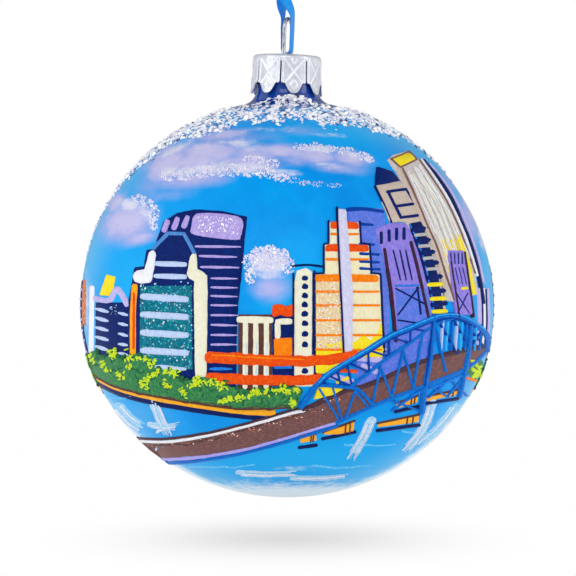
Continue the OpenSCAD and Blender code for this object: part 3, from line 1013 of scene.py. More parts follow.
# ---------------------------------------------------------------- the picture: buildings
def paint_left_buildings(p):
    p.line([(-47.4, 4.4), (-47.6, -12)], 1.3, "white", 1)
    p.fill([(-46.5, 0.9), (-38.5, 0.9), (-38.5, -14), (-46.5, -14)], "navy", 1)
    p.fill([(-43.8, 7.7), (-41.7, 7.2), (-42.1, 4.3), (-43.3, 2.4), (-45.6, 2.7)], "yellow", 1)
    p.line([(-46.3, 1.8), (-43.2, 1.4), (-41.5, 4.1), (-40.3, 3), (-38.9, 0.5)], 1.5, "lilac", 3)
    p.bars(-46.1, -43.7, (-1, -3.2, -5.5, -7.8, -10.2), 1.1, "pale_blue", 3, slope=-0.3)
    p.bars(-40.5, -38.9, (-1.9, -4.4, -6.9, -9.3, -11.6), 1.0, "pale_blue", 3, slope=-0.2)
    p.line([(-49.2, 6), (-49.4, -4)], 0.9, "copper", 2)
    p.line([(-36.9, 4.6), (-37.3, -2), (-37.3, -11.5)], 1.9, "amber", 3)
    p.line([(-37, 3), (-37.1, -10)], 0.8, "red_orange", 4)


def paint_navy_towers(p):
    p.fill([
        (-32, 8), (-31.7, 15.9), (-30, 20.6), (-26.7, 22.6), (-22.6, 23.5), (-15.8, 23.1), (-9.7, 21.7),
        (-10.3, 16), (-11, 7.7), (-11.8, 1), (-12.4, -8), (-12.5, -20), (-24, -19), (-30, -16),
    ], "navy", 1)
    for x, z in ((-29.4, 19.4), (-27, 20), (-24.6, 20.4)):
        p.line([(x - 0.35, z - 0.9), (x + 0.35, z + 0.9)], 1.6, "lilac_window", 3)
    p.fill([
        (-22, 22.3), (-17, 22.5), (-11.9, 21.7), (-10.6, 20.2), (-11.2, 16.8), (-12.5, 16), (-22.4, 17.2),
        (-23.2, 19.3),
    ], "lilac_window", 3, smooth=True)
    for x0, x1, z in ((-22, -11.5, 14.4), (-21, -12.5, 12), (-20.7, -11.9, 9.4)):
        p.bars(x0, x1, (z,), 0.9, "lilac_window", 3, 0.3)
    p.bars(-18.2, -12.3, (6.7, 4.5, 2.4, 0.2, -2.2, -4.6, -7, -9.3), 0.85, "lilac_window", 3, 0.4)
    p.bars(-18.4, -13.7, (-15.2,), 1.0, "bright_blue", 3, 0.2)
    p.line([(-10.4, 21.5), (-11.2, 12), (-12, 2), (-12.5, -9), (-12.6, -18)], 0.45, "navy_line", 2)
    p.fill([
        (-31.9, 14), (-28.8, 17.5), (-25, 17.4), (-22.6, 13.4), (-20.2, 8), (-19.6, -14), (-22, -18),
        (-30, -16), (-38.7, -12), (-38.5, 1.2), (-37.6, 6), (-37.1, 9.4), (-34.7, 9.7), (-34.2, 13.6),
    ], "navy", 2)
    p.fill([(-35.6, 5), (-23, 5), (-22.8, -15.5), (-35.8, -13.5)], "teal", 3, edge=0.3)
    p.line([(-32.2, 14.1), (-28.8, 17.6), (-25, 17.5), (-22.5, 12.9)], 1.1, "crown", 4, straight=True)
    p.fill([
        (-33.4, 13), (-32.4, 13.7), (-31.6, 12.8), (-32.1, 9), (-32.8, 5.7), (-35.3, 5.3), (-36.9, 6),
        (-37.4, 7.2), (-36.8, 8.5), (-34.5, 9),
    ], "white", 4)
    p.fill([
        (-23.4, 12.5), (-22, 13.1), (-21.6, 9), (-20.6, 8.5), (-19.3, 7.4), (-19.2, 2.6), (-19.5, -17.2),
        (-22.3, -17.5), (-22.6, 4.3), (-22.5, 6), (-23.7, 6.6), (-24.3, 7.7), (-23.9, 9.7),
    ], "cream", 4)
    p.bars(-31.6, -24.9, (10.2, 7.2), 1.6, "pale_blue", 4, belly=0.15)
    p.bars(-34.6, -24.6, (2, -2.3, -6.7, -11), 2.1, "pale_blue", 5, belly=0.12, slope=-0.06)
    p.bars(-32.4, -25, (-14.9,), 1.6, "pale_blue", 5, 0.1, slope=-0.08)


def paint_middle_buildings(p):
    p.fill([(-11.9, -2), (-3.6, -2), (-3.6, -20.5), (-11.9, -20.5)], "bank_brown", 1)
    p.bars(-11.4, -4.2, (-3.3,), 2, "cream", 3, belly=0.1)
    for x in (-10.1, -7.6, -5):
        p.line([(x, -3.2), (x, -12), (x - 0.1, -19.4)], 1.55, "cream", 3)
        p.line([(x + 0.1, -9), (x, -19)], 0.8, "water_shade", 3.3, 0.3)
    p.fill([(-3.6, -0.5), (1.5, -0.5), (1.6, -19.5), (-3.6, -19.5)], "navy", 1)
    p.fill([
        (-3.5, 0.1), (-1.6, 0.5), (-0.2, 0), (1.6, 0.4), (1.7, -2.1), (0, -2.6), (-1.6, -2.2), (-3.5, -2.6),
    ], "red_orange", 3, smooth=True)
    p.line([(-2.3, -7.2), (-2.3, -3.8), (0.6, -3.7)], 1.7, "cream", 3, straight=True)
    p.fill([(-3.3, -7.8), (1.3, -7.5), (1.4, -12), (-3.2, -12.2)], "orange", 3)
    p.line([(-2.8, -14.8), (1, -14.8)], 0.9, "bright_blue", 3)
    p.line([(1, 9.7), (5, 10), (9, 9.5)], 0.6, "navy_line", 1)
    p.fill([(1.6, -19.5), (1.7, 6), (2.3, 8.6), (4.4, 9.3), (6, 8.5), (6.3, 6), (6.5, -19.5)], "cream", 2)
    for z in (6.8, 4.8, 2.6, 0.4, -1.8, -4.1, -6.7, -9.2, -15.6):
        p.fill([
            (3.4, z - 0.75), (3.5, z + 0.3), (4, z + 0.75), (4.8, z + 0.7), (5.1, z + 0.2), (5.1, z - 0.75),
        ], "navy", 4, wobble=0.08)
    p.line([(6.6, 8.4), (6.7, -8), (6.8, -19)], 0.6, "navy_line", 4)
    p.line([(1.5, 7.8), (1.4, -18.5)], 0.5, "navy_line", 4)


def paint_stepped_tower(p):
    p.fill([(6.4, 7.8), (22.4, 7.8), (23.2, -11.4), (6.4, -11.4)], "ivory", 2)
    p.fill([(6.7, 7), (13, 7), (13.2, -11), (6.6, -11)], "tan_glitter", 3, edge=0.5)
    p.fill([(9, 15), (19.8, 15), (20.2, 7.7), (9, 7.7)], "ivory", 2)
    p.fill([(10.2, 20.4), (17.4, 20.4), (17.7, 15), (10.2, 15)], "cream", 2)
    p.fill([
        (6.6, -9), (8, -8.4), (10, -9.2), (13, -8.3), (16.4, -8.6), (18.5, -6.8), (20, -8.2), (21.8, -6.4),
        (22.9, -3), (23.2, -12.4), (6.6, -12.4),
    ], "yellow", 3)
    for x0, x1, z, tone in (
        (10.8, 17, 19.6, "red_orange"), (9.6, 19.4, 14.1, "red_orange"), (7, 21.8, 6.8, "orange"),
    ):
        p.fill([
            (x0 - 0.5, z - 0.9), (x0 - 0.3, z + 0.8), ((x0 + x1) / 2, z + 1), (x1 + 0.2, z + 0.7),
            (x1 + 0.4, z - 1),
        ], tone, 4)
    for x0, x1, z in (
        (10.8, 17, 17.4), (9.6, 19.4, 11.3), (7, 22, 3.5), (7, 22.2, 0.2), (7, 22.3, -3.4), (7, 22.5, -7),
        (7, 22.6, -10.5),
    ):
        p.line([(x0, z), (x1, z)], 0.8, "orange", 4, 0.2)
    for path in (
        [(10, 20.6), (10, 15.2), (8.9, 15), (8.9, 8), (6.3, 7.8), (6.2, -11.5)],
        [(17.6, 20.4), (17.9, 15.2), (20, 15), (20.4, 8), (22.6, 7.8), (23.5, -11)],
    ):
        p.line(path, 0.55, "navy_line", 4, straight=True)
    p.fill([
        (12.2, 23.6), (14.3, 23.4), (15, 14.5), (15.9, 4.3), (15.8, -11), (13.8, -11), (13.1, 2.6),
        (12.5, 14.5),
    ], "pylon", 5)
    p.line([(12, 23.8), (12.4, 14.5), (13, 2.6), (13.6, -11)], 0.55, "navy_line", 6)


def paint_violet_buildings(p):
    p.fill([
        (14.5, 23.9), (23.4, 23.7), (24.6, 10), (25, -11), (16, -11), (16.2, 4), (15.2, 15),
    ], "violet_blue", 1)
    p.fill([
        (24.6, -7), (35.4, -7), (36.2, -15.4), (27, -17.2), (20.4, -19.6), (17, -20), (16.4, -11),
        (24.6, -11),
    ], "violet_blue", 0.8)
    p.line([(14.8, 23.4), (19, 23.5), (23, 22.9)], 1.2, "bridge_dark", 3, 0.3)
    for z, x1 in ((19.8, 20.5), (15, 20.8), (12.6, 22), (10.7, 22), (9, 22.2)):
        p.line([(17.8, z + 0.1), (x1, z - 0.1)], 0.95, "bridge_dark", 3, 0.3)
    p.fill([
        (21.2, 18.6), (24.6, 20.1), (29, 20.1), (30.7, 16.9), (32.7, 11.1), (34.8, 0.9), (35.3, -8.3),
        (26, -8.8), (24.8, 3), (23, 13),
    ], "purple", 3)
    for x, z in ((22.7, 16.5), (24.6, 17), (26.4, 17.4), (28.2, 17.5)):
        p.line([(x, z - 1.1), (x, z + 1.1)], 0.95, "navy", 5)
    p.lines([
        [(23.5, 13.6), (25.2, 2.6), (26.3, -8.3)],
        [(29.9, 15.3), (31.5, 9), (34.2, -3.2)],
    ], 1.0, "plum", 5)
    p.fill([(25.9, 4.2), (33.6, 4.6), (34.8, 0.5), (35.2, -8.2), (26.6, -8.6)], "violet_blue", 4, edge=0.4)
    for x0, x1 in ((25.6, 27.3), (27.2, 28.7), (28.6, 30.1)):
        p.line([(x0, 13.4), (x0 * 0.45 + x1 * 0.55, 9.6), (x1, 6.4)], 0.5, "navy", 5, belly=0.3)
    p.line([(26.3, 4.9), (31.6, 5)], 0.6, "bright_blue", 5)
    p.lines([
        [(26.8, -2), (31.6, 4.4)],
        [(26.3, 4.2), (33.4, 0.4)],
    ], 0.6, "navy", 5)
    p.line([(26.8, -3.4), (31.2, -4)], 0.55, "navy", 5)
    p.line([(31.4, 4.4), (32.2, -1.8)], 0.7, "navy", 5)
    p.line([(29.6, 19.7), (31, 16.6), (33.1, 10.6), (35, 1), (35.7, -8)], 0.6, "bright_blue", 5)


def paint_tan_tower(p):
    p.fill([
        (21.3, 29.1), (27.3, 30.3), (29, 28.8), (31.4, 24), (34.1, 17.2), (36.5, 9), (38.5, -1.9),
        (35.3, -2.2), (33.4, 8.4), (31, 15.9), (28.5, 20.3), (24.8, 20.3),
    ], "tan", 4)
    p.fill([(21.6, 33.8), (25.4, 32.6), (27.3, 30.4), (24, 29.6), (21.2, 29.3), (21.3, 31.2)], "navy", 5)
    p.lines((
        ((24.2, 27.6), (28.8, 28.2)), ((24.4, 27.4), (27.4, 21.4)), ((26.4, 24.1), (31, 24.7)),
        ((27.8, 21.4), (32.2, 22)), ((28.9, 28), (31.2, 24.3)), ((31, 24.6), (32.6, 21.6)),
    ), 0.9, "navy", 6)
    places = ((32.1, 18.6), (33.1, 15.9), (34.2, 13), (35, 10.4), (35.8, 7), (36.5, 3.6), (36.9, 0.5))
    p.fill([
        (29, 20), (32.6, 20.6), (34.6, 14), (36.6, 7), (38, -2.2), (35.4, -2.4), (33.8, 5), (31.6, 13),
    ], "navy_line", 4.4)
    for i, (x, z) in enumerate(places):
        p.line([(x - 1.75, z - 0.2), (x + 1.15, z + 0.15)], 1.4, "navy", 7, wobble=0.06)
        if i < 4:
            p.line([(x - 1.1, z - 1.5), (x + 1.4, z - 1.3)], 1.05, "grey_bar", 6)
        else:
            p.line([(x - 1.5, z - 1.85), (x + 1.2, z - 1.7)], 1.35, "yellow", 6)


def paint_leaning_tower(p):
    p.fill([
        (24.2, 35.4), (25.4, 36.5), (29.2, 37.6), (30.7, 36.3), (32.1, 35.3), (35.1, 30.8), (38.2, 26.1),
        (40.9, 20.6), (43.3, 14.5), (45.3, 8.4), (46.2, 2.9), (40, 1), (38.3, 1.4), (36.6, 9), (33.8, 16.8),
        (30.8, 23.9), (28.2, 28.9), (26.2, 32.5),
    ], "streak", 5)
    p.fill([(25, 35.4), (29.3, 37.1), (31.2, 35.3), (27.2, 33.4)], "yellow", 7)
    p.line([(25, 35.4), (29.3, 37.2), (31.3, 35.3), (27.2, 33.4), (25, 35.4)], 0.5, "brown_line", 8,
        straight=True)
    p.line([(21.3, 29), (23.4, 24.6), (25.2, 20.4)], 0.5, "navy_line", 5)
    p.line([(26.8, 33), (29.6, 27.6), (32.5, 21), (35.2, 14.6), (37, 9.2), (38.4, 3.6)], 1.2, "tan", 7.2, 0.1)
    p.line([
        (27.8, 33), (30.5, 27.3), (33.2, 20.6), (35.9, 14.5), (37.6, 9.4), (39.3, 4.3), (40.2, 1.5),
    ], 0.6, "brown_line", 8)
    p.fill([
        (36.2, 15.8), (37.6, 17.6), (38.6, 15), (39.8, 18.6), (40.6, 16), (41.8, 18.2), (43, 14.6), (45, 7),
        (45.4, 3.2), (40.2, 2.4), (38.6, 8),
    ], "gold", 5.6, edge=0.4)
    for i in range(13):
        s = 0.08 + 0.068 * i
        top = (29 + 3.2 * s, 33.6 + 0.6 * s - rng.uniform(0, 3))
        mid = (33.7 + 5.6 * s, 21 + 2.2 * s)
        low = (39.8 + 6 * s, 3.2 + rng.uniform(0, 6))
        tone = ("white", "streak", "cream", "white", "grey_bar", "cream")[i % 6]
        p.line([top, mid, low], 0.25 if tone == "grey_bar" else 0.45, tone, 6.4, 0.3, wobble=0.12)
    p.line([(41.4, 16.5), (43.4, 10.4), (45, 3.3)], 1.3, "yellow", 7)
    p.line([(31.9, 35.2), (35, 30.7), (38, 26), (40.7, 20.5), (43.1, 14.4), (45.2, 8)], 0.5, "brown_line", 7)
    p.line([
        (32.3, 35.3), (35.6, 30.8), (38.6, 26.1), (41.4, 20.4), (43.8, 14.2), (45.8, 7.4),
    ], 0.5, "white", 8)
    p.line([
        (32.9, 35.1), (36.5, 30.8), (39.6, 26.1), (42.3, 19.9), (44.7, 13.8), (46.4, 7), (47.4, 0.9),
    ], 0.85, "navy_line", 7)
    p.line([(34.4, 34.2), (37.7, 30.2), (40.8, 25.4), (43.6, 19), (45.8, 12.6), (47.4, 5.8)], 0.6, "lilac", 6)


def paint_right_buildings(p):
    p.fill([(38.3, 13.5), (42.7, 13.4), (43.9, 6), (44.8, -2), (40.6, -2.4), (39.4, 5)], "purple", 8)
    for x in (39.2, 40.1, 41, 41.9):
        p.line([(x, 12.6), (x + 0.1, 10.3)], 0.55, "navy", 9)
    for x in (40.3, 41.2, 42.1):
        p.line([(x, 9.2), (x + 0.8, 5.4)], 0.35, "navy", 9)
    p.lines([
        [(40.6, 3), (43.6, -1.6)],
        [(43.2, 3), (40.9, -1.6)],
    ], 0.5, "navy", 9)
    p.lines([
        [(39.3, 10.6), (41.3, -2.4)],
        [(42.6, 12.8), (44.8, -2.4)],
    ], 0.8, "plum", 9)
    p.line([(42, 4.2), (43, 4.3)], 1.0, "yellow", 9)
    for x, colour in ((46.5, "lilac"), (47.5, "white"), (48.5, "lilac")):
        p.line([(x, 4), (x + 0.2, -4), (x - 0.3, -9)], 1.0, colour, 3)
    for x in (47, 48):
        p.line([(x, 4), (x + 0.2, -4), (x - 0.3, -9)], 0.4, "navy", 5)


def paint_rails(p):
    p.line([(-18.6, -12.3), (-8, -12.9), (2, -13.3), (10, -12.9), (16, -11.9)], 3.1, "red_orange", 6,
        wobble=0.1)
    p.line([(-18.4, -17.3), (-8, -17.8), (2, -17.9), (7.4, -17.6)], 2.8, "red_orange", 6, wobble=0.1)
    p.line([(-18, -11.7), (-6, -12.4), (4, -12.8)], 0.5, "orange", 7, wobble=0.1)
    p.fill([(6.5, -12), (14.5, -12), (12, -14.8), (9.4, -16.4), (6.6, -16.2)], "yellow", 4)
    p.fill([(7.4, -19.2), (13.8, -19.9), (11.4, -21.4), (6.4, -22.6)], "yellow", 4)


def paint_back_skyline():
    """The far side isn't pictured: a plain skyline of the same kind runs on round the ball."""
    p = Painting("picture_skyline_back", around, 2.4)
    s, end = QUARTER - 2, 3 * QUARTER + 2
    tones = ["navy", "violet_blue", "cream", "tan", "purple", "navy", "ivory", "copper"]
    i = 0
    while s < end:
        w = rng.uniform(6, 11.5)
        top = rng.uniform(-1, 19)
        tone = tones[(i * 3 + i // 3) % len(tones)]
        lean = rng.uniform(-0.5, 0.5)
        roof = rng.integers(3)
        shape = [(s, -14.5), (s + lean, top)]
        if roof == 0:
            shape += [(s + w * 0.5 + lean, top + w * 0.35)]
        elif roof == 1:
            a, b = s + w * 0.25 + lean, s + w * 0.75 + lean
            shape += [(a, top), (a, top + 3), (b, top + 3), (b, top)]
        shape += [(s + w + lean, top), (s + w, -14.5)]
        p.fill(shape, tone, 1 + i % 2)
        dark = tone in ("navy", "violet_blue", "purple")
        window = (("lilac_window", "pale_blue") if dark else ("orange", "navy"))[i % 2]
        z = top - 2.2
        while z > -12:
            p.line([(s + 1.3 + lean, z), (s + w - 1.3 + lean, z)], 0.9, window, 4, 0.2)
            z -= rng.uniform(2.2, 2.9)
        s += w + rng.uniform(-1.2, 1.6)
        i += 1
    made = p.build()


def paint_buildings():
    p = Painting("picture_skyline")
    for paint in (
        paint_left_buildings, paint_navy_towers, paint_middle_buildings, paint_violet_buildings,
        paint_stepped_tower, paint_tan_tower, paint_leaning_tower, paint_right_buildings, paint_rails,
    ):
        paint(p)
    made = p.build()
    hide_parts("skyline_relief")
    make_sparkles("skyline_sparkle", [
        sparkle(None, count, size, kinds, level, outline) for count, size, kinds, level, outline in (
            (520, 0.42, ["teal", "teal", "sky", "silver", "dark"], 3.4, [
                (-35.4, 5.6), (-32, 6.6), (-29.6, 4.6), (-24.8, 6.2), (-22.9, 4.8), (-22.8, -15.2),
                (-35.6, -13.4)]),
            (150, 0.36, ["lilac", "white", "silver"], 3.4, [
                (-21.6, 21.9), (-12.4, 21.3), (-11.4, 19.8), (-11.9, 17.2), (-22.2, 18)]),
            (170, 0.34, ["copper", "pearl", "white"], 3.4, [(7, 6.6), (13, 6.6), (13, -10.5), (7, -10.5)]),
            (24, 0.34, ["sky", "dark", "silver"], 2, [(-43, 0.2), (-41.2, 0.2), (-41.2, -2.2), (-43, -2.2)]),
            (60, 0.5, ["copper"], 3, [(-49.4, 6), (-48.6, 6), (-48.7, -5), (-49.5, -5)]),
        )
    ])
    paint_back_skyline()


# ---------------------------------------------------------------- the picture: river bank
def paint_bank():
    p = Painting("picture_bank")
    p.fill([
        (-48.2, -12.2), (-46.8, -11.1), (-44, -11.8), (-42, -10.8), (-40, -12.8), (-36.6, -11.5),
        (-33.2, -12.8), (-31.2, -14.9), (-28, -15.2), (-26.4, -17.4), (-22, -17.6), (-19.6, -16.9),
        (-16, -18.6), (-9.4, -20.5), (-6, -20.1), (3.2, -19.7), (2.2, -24.2), (0.5, -24.5), (-2.6, -24.9),
        (-9.4, -24.7), (-16, -24.2), (-23, -23.2), (-30, -22), (-35, -20.9), (-40, -19.8), (-45, -17.7),
        (-47.4, -16.2),
    ], "green", 6.5, smooth=True, wobble=0.35)
    p.line([(-46, -18.4), (-40, -21), (-30, -23.6), (-16, -26), (-5, -27.3)], 1.1, "navy_line", 1)
    p.line([
        (-46.4, -18.6), (-40, -21.6), (-30, -24.1), (-16, -26.3), (-7, -27.2), (-1, -27.2),
    ], 1.2, "navy_line", 1.2, 0.2)
    p.line([
        (-46.8, -17.2), (-40, -20.3), (-30, -22.7), (-16, -24.9), (-9.4, -25.6), (-3.4, -25.9),
    ], 1.4, "bank_gold", 2, taper=-0.25)
    p.line([
        (-47, -16.3), (-45, -17.6), (-40, -19.8), (-30, -22), (-16, -24.2), (-9.4, -24.7), (0.5, -24.4),
    ], 0.65, "bank_brown", 7.5)
    top = [
        (-47.4, -12.4), (-45.4, -11.8), (-42.2, -11.5), (-40.2, -13), (-37.6, -12.4), (-35, -12.6),
        (-33, -13.8), (-30.4, -15.4), (-27.4, -16), (-25.2, -17.8), (-21.6, -18.2), (-18.4, -17.9),
        (-15.4, -19.2), (-11.6, -20.6), (-7.4, -20.7), (-3.4, -20.4), (-0.4, -20), (2.2, -20.3),
    ]
    p.dots(top, 0.85, "leaf_dark", 7, 0.7, 3)
    p.dots(top[::2], 0.55, "leaf", 8, 0.6, 9)
    inner = [
        (-44, -14), (-42, -14.6), (-40.5, -16.4), (-37.8, -14.4), (-36, -16), (-35, -18.4), (-33.4, -17),
        (-31.2, -17.4), (-33.5, -19.4), (-28.5, -18.8), (-26, -19.4), (-25, -20.8), (-22.4, -19.2),
        (-20.4, -20), (-18, -19.6), (-15.6, -22.4), (-12.8, -22.2), (-10.4, -22), (-7.2, -22.4), (-4, -22.2),
        (-1.2, -22.4), (1.2, -22.8),
    ]
    p.dots(inner, 0.8, "leaf_dark", 7, 0.8, 3)
    bright = [
        (-42, -11.9), (-44.2, -14), (-43.4, -15), (-40.5, -16.4), (-39.6, -16.9), (-37.8, -14.4),
        (-35.4, -12.6), (-34, -12.9), (-35, -18.6), (-34.2, -17.7), (-33.2, -16.9), (-32.2, -16.2),
        (-31.2, -15.6), (-29.2, -15.6), (-27.4, -16), (-33.6, -19), (-28.8, -18.9), (-25.4, -20.2),
        (-24.8, -20.9), (-22.6, -19), (-22, -18.5), (-21.2, -18.1), (-19.6, -18.2), (-18, -18.1),
        (-16.4, -18.7), (-15.8, -22.7), (-14.6, -22.6), (-13.2, -22.1), (-12, -22), (-10.6, -21.7),
        (-8.8, -21.2), (-7.2, -20.8), (-5.2, -20.7), (-3.2, -20.4), (-1.5, -19.9), (0.4, -20.2), (2, -20.4),
        (1.2, -22.8), (1.7, -23.4),
    ]
    p.dots(bright, 0.5, "leaf", 8, 0.42, 8)
    p.dots(bright[::4], 0.4, "yellow", 8.6, 0.4, 2)
    p.line([(-38, -20.2), (-30, -21.8), (-20, -23.4), (-8, -24.5), (0, -24.3)], 0.5, "bank_brown", 7.2,
        wobble=0.5)
    for shape, z in (
        ([(3, -31.3), (7, -31), (7.2, -32.6), (3.2, -33.2)], -33.9),
        ([(8.6, -30.6), (16.4, -27.8), (16, -31), (9, -31.2)], -31.8),
        ([(21.9, -28.4), (32, -26.3), (31.9, -28.1), (22, -29.4)], -29.8),
        ([(26.3, -23.6), (31.7, -21.7), (31.7, -23.3), (26.6, -24.8)], -25.2),
        ([(33.8, -21.9), (41.3, -20.3), (41.1, -21.5), (33.8, -23.1)], -23.2),
    ):
        p.fill(shape, "bank_gold", 1)
        x0, x1 = shape[0][0], shape[1][0]
        p.line([(x0, z - 0.4), (x1, z + (shape[1][1] - shape[0][1]) * 0.45)], 0.9, "navy_line", 2)
        p.line([shape[0], shape[1]], 0.5, "bank_brown", 2)
        for share in (0.72, 0.86):
            x = x0 + (x1 - x0) * share
            top_z = shape[0][1] + (shape[1][1] - shape[0][1]) * share
            low_z = shape[3][1] + (shape[2][1] - shape[3][1]) * share
            p.line([(x, top_z), (x - 0.2, low_z)], 0.45, "bank_brown", 2.4)
    p.fill([(44, -13), (47.4, -13.4), (46.6, -17.6), (44, -16.6)], "green", 1, smooth=True)
    p.dots([(45, -14), (46.2, -14.4), (45.4, -16), (46, -17)], 0.8, "leaf", 3, 0.4, 3)
    p.line([(43.6, -17.4), (46.8, -18.4)], 0.7, "orange", 3)
    made = p.build()
    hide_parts("riverbank_relief")
    p = Painting("picture_bank_back", around, 2.6)
    lanes = np.linspace(QUARTER - 1, 3 * QUARTER + 4.5, 40)
    wave = [(s, -13.6 + 1.5 * math.sin(s * 0.16) + rng.uniform(-0.6, 0.6)) for s in lanes]
    foot = [(s, -19.6 + 0.9 * math.sin(s * 0.11 + 1)) for s in lanes]
    p.fill(wave + foot[::-1], "green", 6, smooth=True, wobble=0.3)
    p.line([(s, z - 1.9) for s, z in foot], 1.1, "navy_line", 1)
    p.line([(s, z - 0.9) for s, z in foot], 1.5, "bank_gold", 2)
    p.line(foot, 0.65, "bank_brown", 7.5)
    p.dots(wave, 0.9, "leaf_dark", 7, 0.8, 3)
    p.dots([(s + 1.5, z) for s, z in wave], 0.85, "leaf", 8, 0.8, 3)
    p.dots([(s, z - 3) for s, z in wave], 0.85, "leaf", 8, 1.1, 3)
    made = p.build()


# ---------------------------------------------------------------- the picture: water and bridge
def paint_water():
    p = Painting("picture_water")

    def dry(points, spread, hairs, colour="foam_pale"):
        """A nearly dry brush dragged along points: one pale sweep that frays into single hairs at its end."""
        path = np.array(points, float)
        along = path[-1] - path[0]
        out = np.array([-along[1], along[0]]) / np.linalg.norm(along)
        line = catmull(path, 0.5)
        body = line[:max(int(0.78 * len(line)), 3)]
        p.line(body[::2], spread, colour, 1, 0.1, wobble=0.3)
        for i in range(hairs):
            off = out * spread * 0.86 * (i / max(hairs - 1, 1) - 0.5)
            a, b = rng.uniform(0.02, 0.2), rng.uniform(0.86, 1.0)
            hair = line[int(a * len(line)):int(b * len(line))]
            p.line(hair[::3] + off, rng.uniform(0.35, 0.55), ("foam_pale", "cloud_white", "foam_blue")[i % 3],
                1.6, 0.5, wobble=0.1)

    dry([(-32.4, -23.2), (-31, -27), (-28.6, -31.8)], 1.9, 5)
    dry([(-33.4, -28.6), (-29.6, -29.3), (-26, -28.7)], 1.4, 4)
    dry([(-31.5, -30.4), (-29, -29.3), (-26.6, -29.8)], 0.8, 3)
    dry([(20.4, -27.8), (18.2, -32.4), (15, -37.4)], 2.3, 6)
    dry([(35.2, -23.4), (33.8, -28), (31.4, -32), (28, -35.6)], 2.1, 6)
    dry([(41, -24.5), (37, -29.5), (32, -34)], 2.4, 5, "foam_blue")
    dry([(-41, -24.6), (-38.4, -27.4), (-35, -29.8)], 3.0, 6, "foam_blue")
    dry([(-12, -40.4), (-5, -40.8), (3, -40.5)], 1.2, 4)
    dry([(1, -41.6), (8, -41.7), (15.6, -41)], 0.9, 3)
    for x0, x1, z in (
        (-24, -8, -38.8), (6, 20, -38.9), (-24, -14, -36.6), (14, 26, -33.6), (28, 37, -30.4),
        (-44, -38, -22),
    ):
        p.line([(x0, z), ((x0 + x1) / 2, z - 0.3), (x1, z + 0.2)], 0.6, "water_line", 1, 0.5, wobble=0.2)
    made = p.build()


TOP_CHORD = [
    (3.5, -24.1), (7.5, -18.6), (9.6, -16.6), (14.4, -13.5), (19.5, -10.5), (24.6, -7.4), (29.7, -5.2),
    (34.8, -3.1), (36.8, -2.5), (39.9, -2.3), (42.3, -2.8), (45, -4.2), (47.4, -6), (48.4, -8.1),
    (48.7, -10.5),
]
INNER_CHORD = [(15.4, -19.3), (19.8, -15.9), (24.6, -12.2), (29.7, -8.8), (33.4, -6), (36.8, -4), (39.9, -3)]
LOW_CHORD = [
    (13.3, -27.5), (21.2, -23.9), (29, -20.8), (34.8, -18.6), (40.9, -16.2), (45, -13.9), (48, -11.1),
]


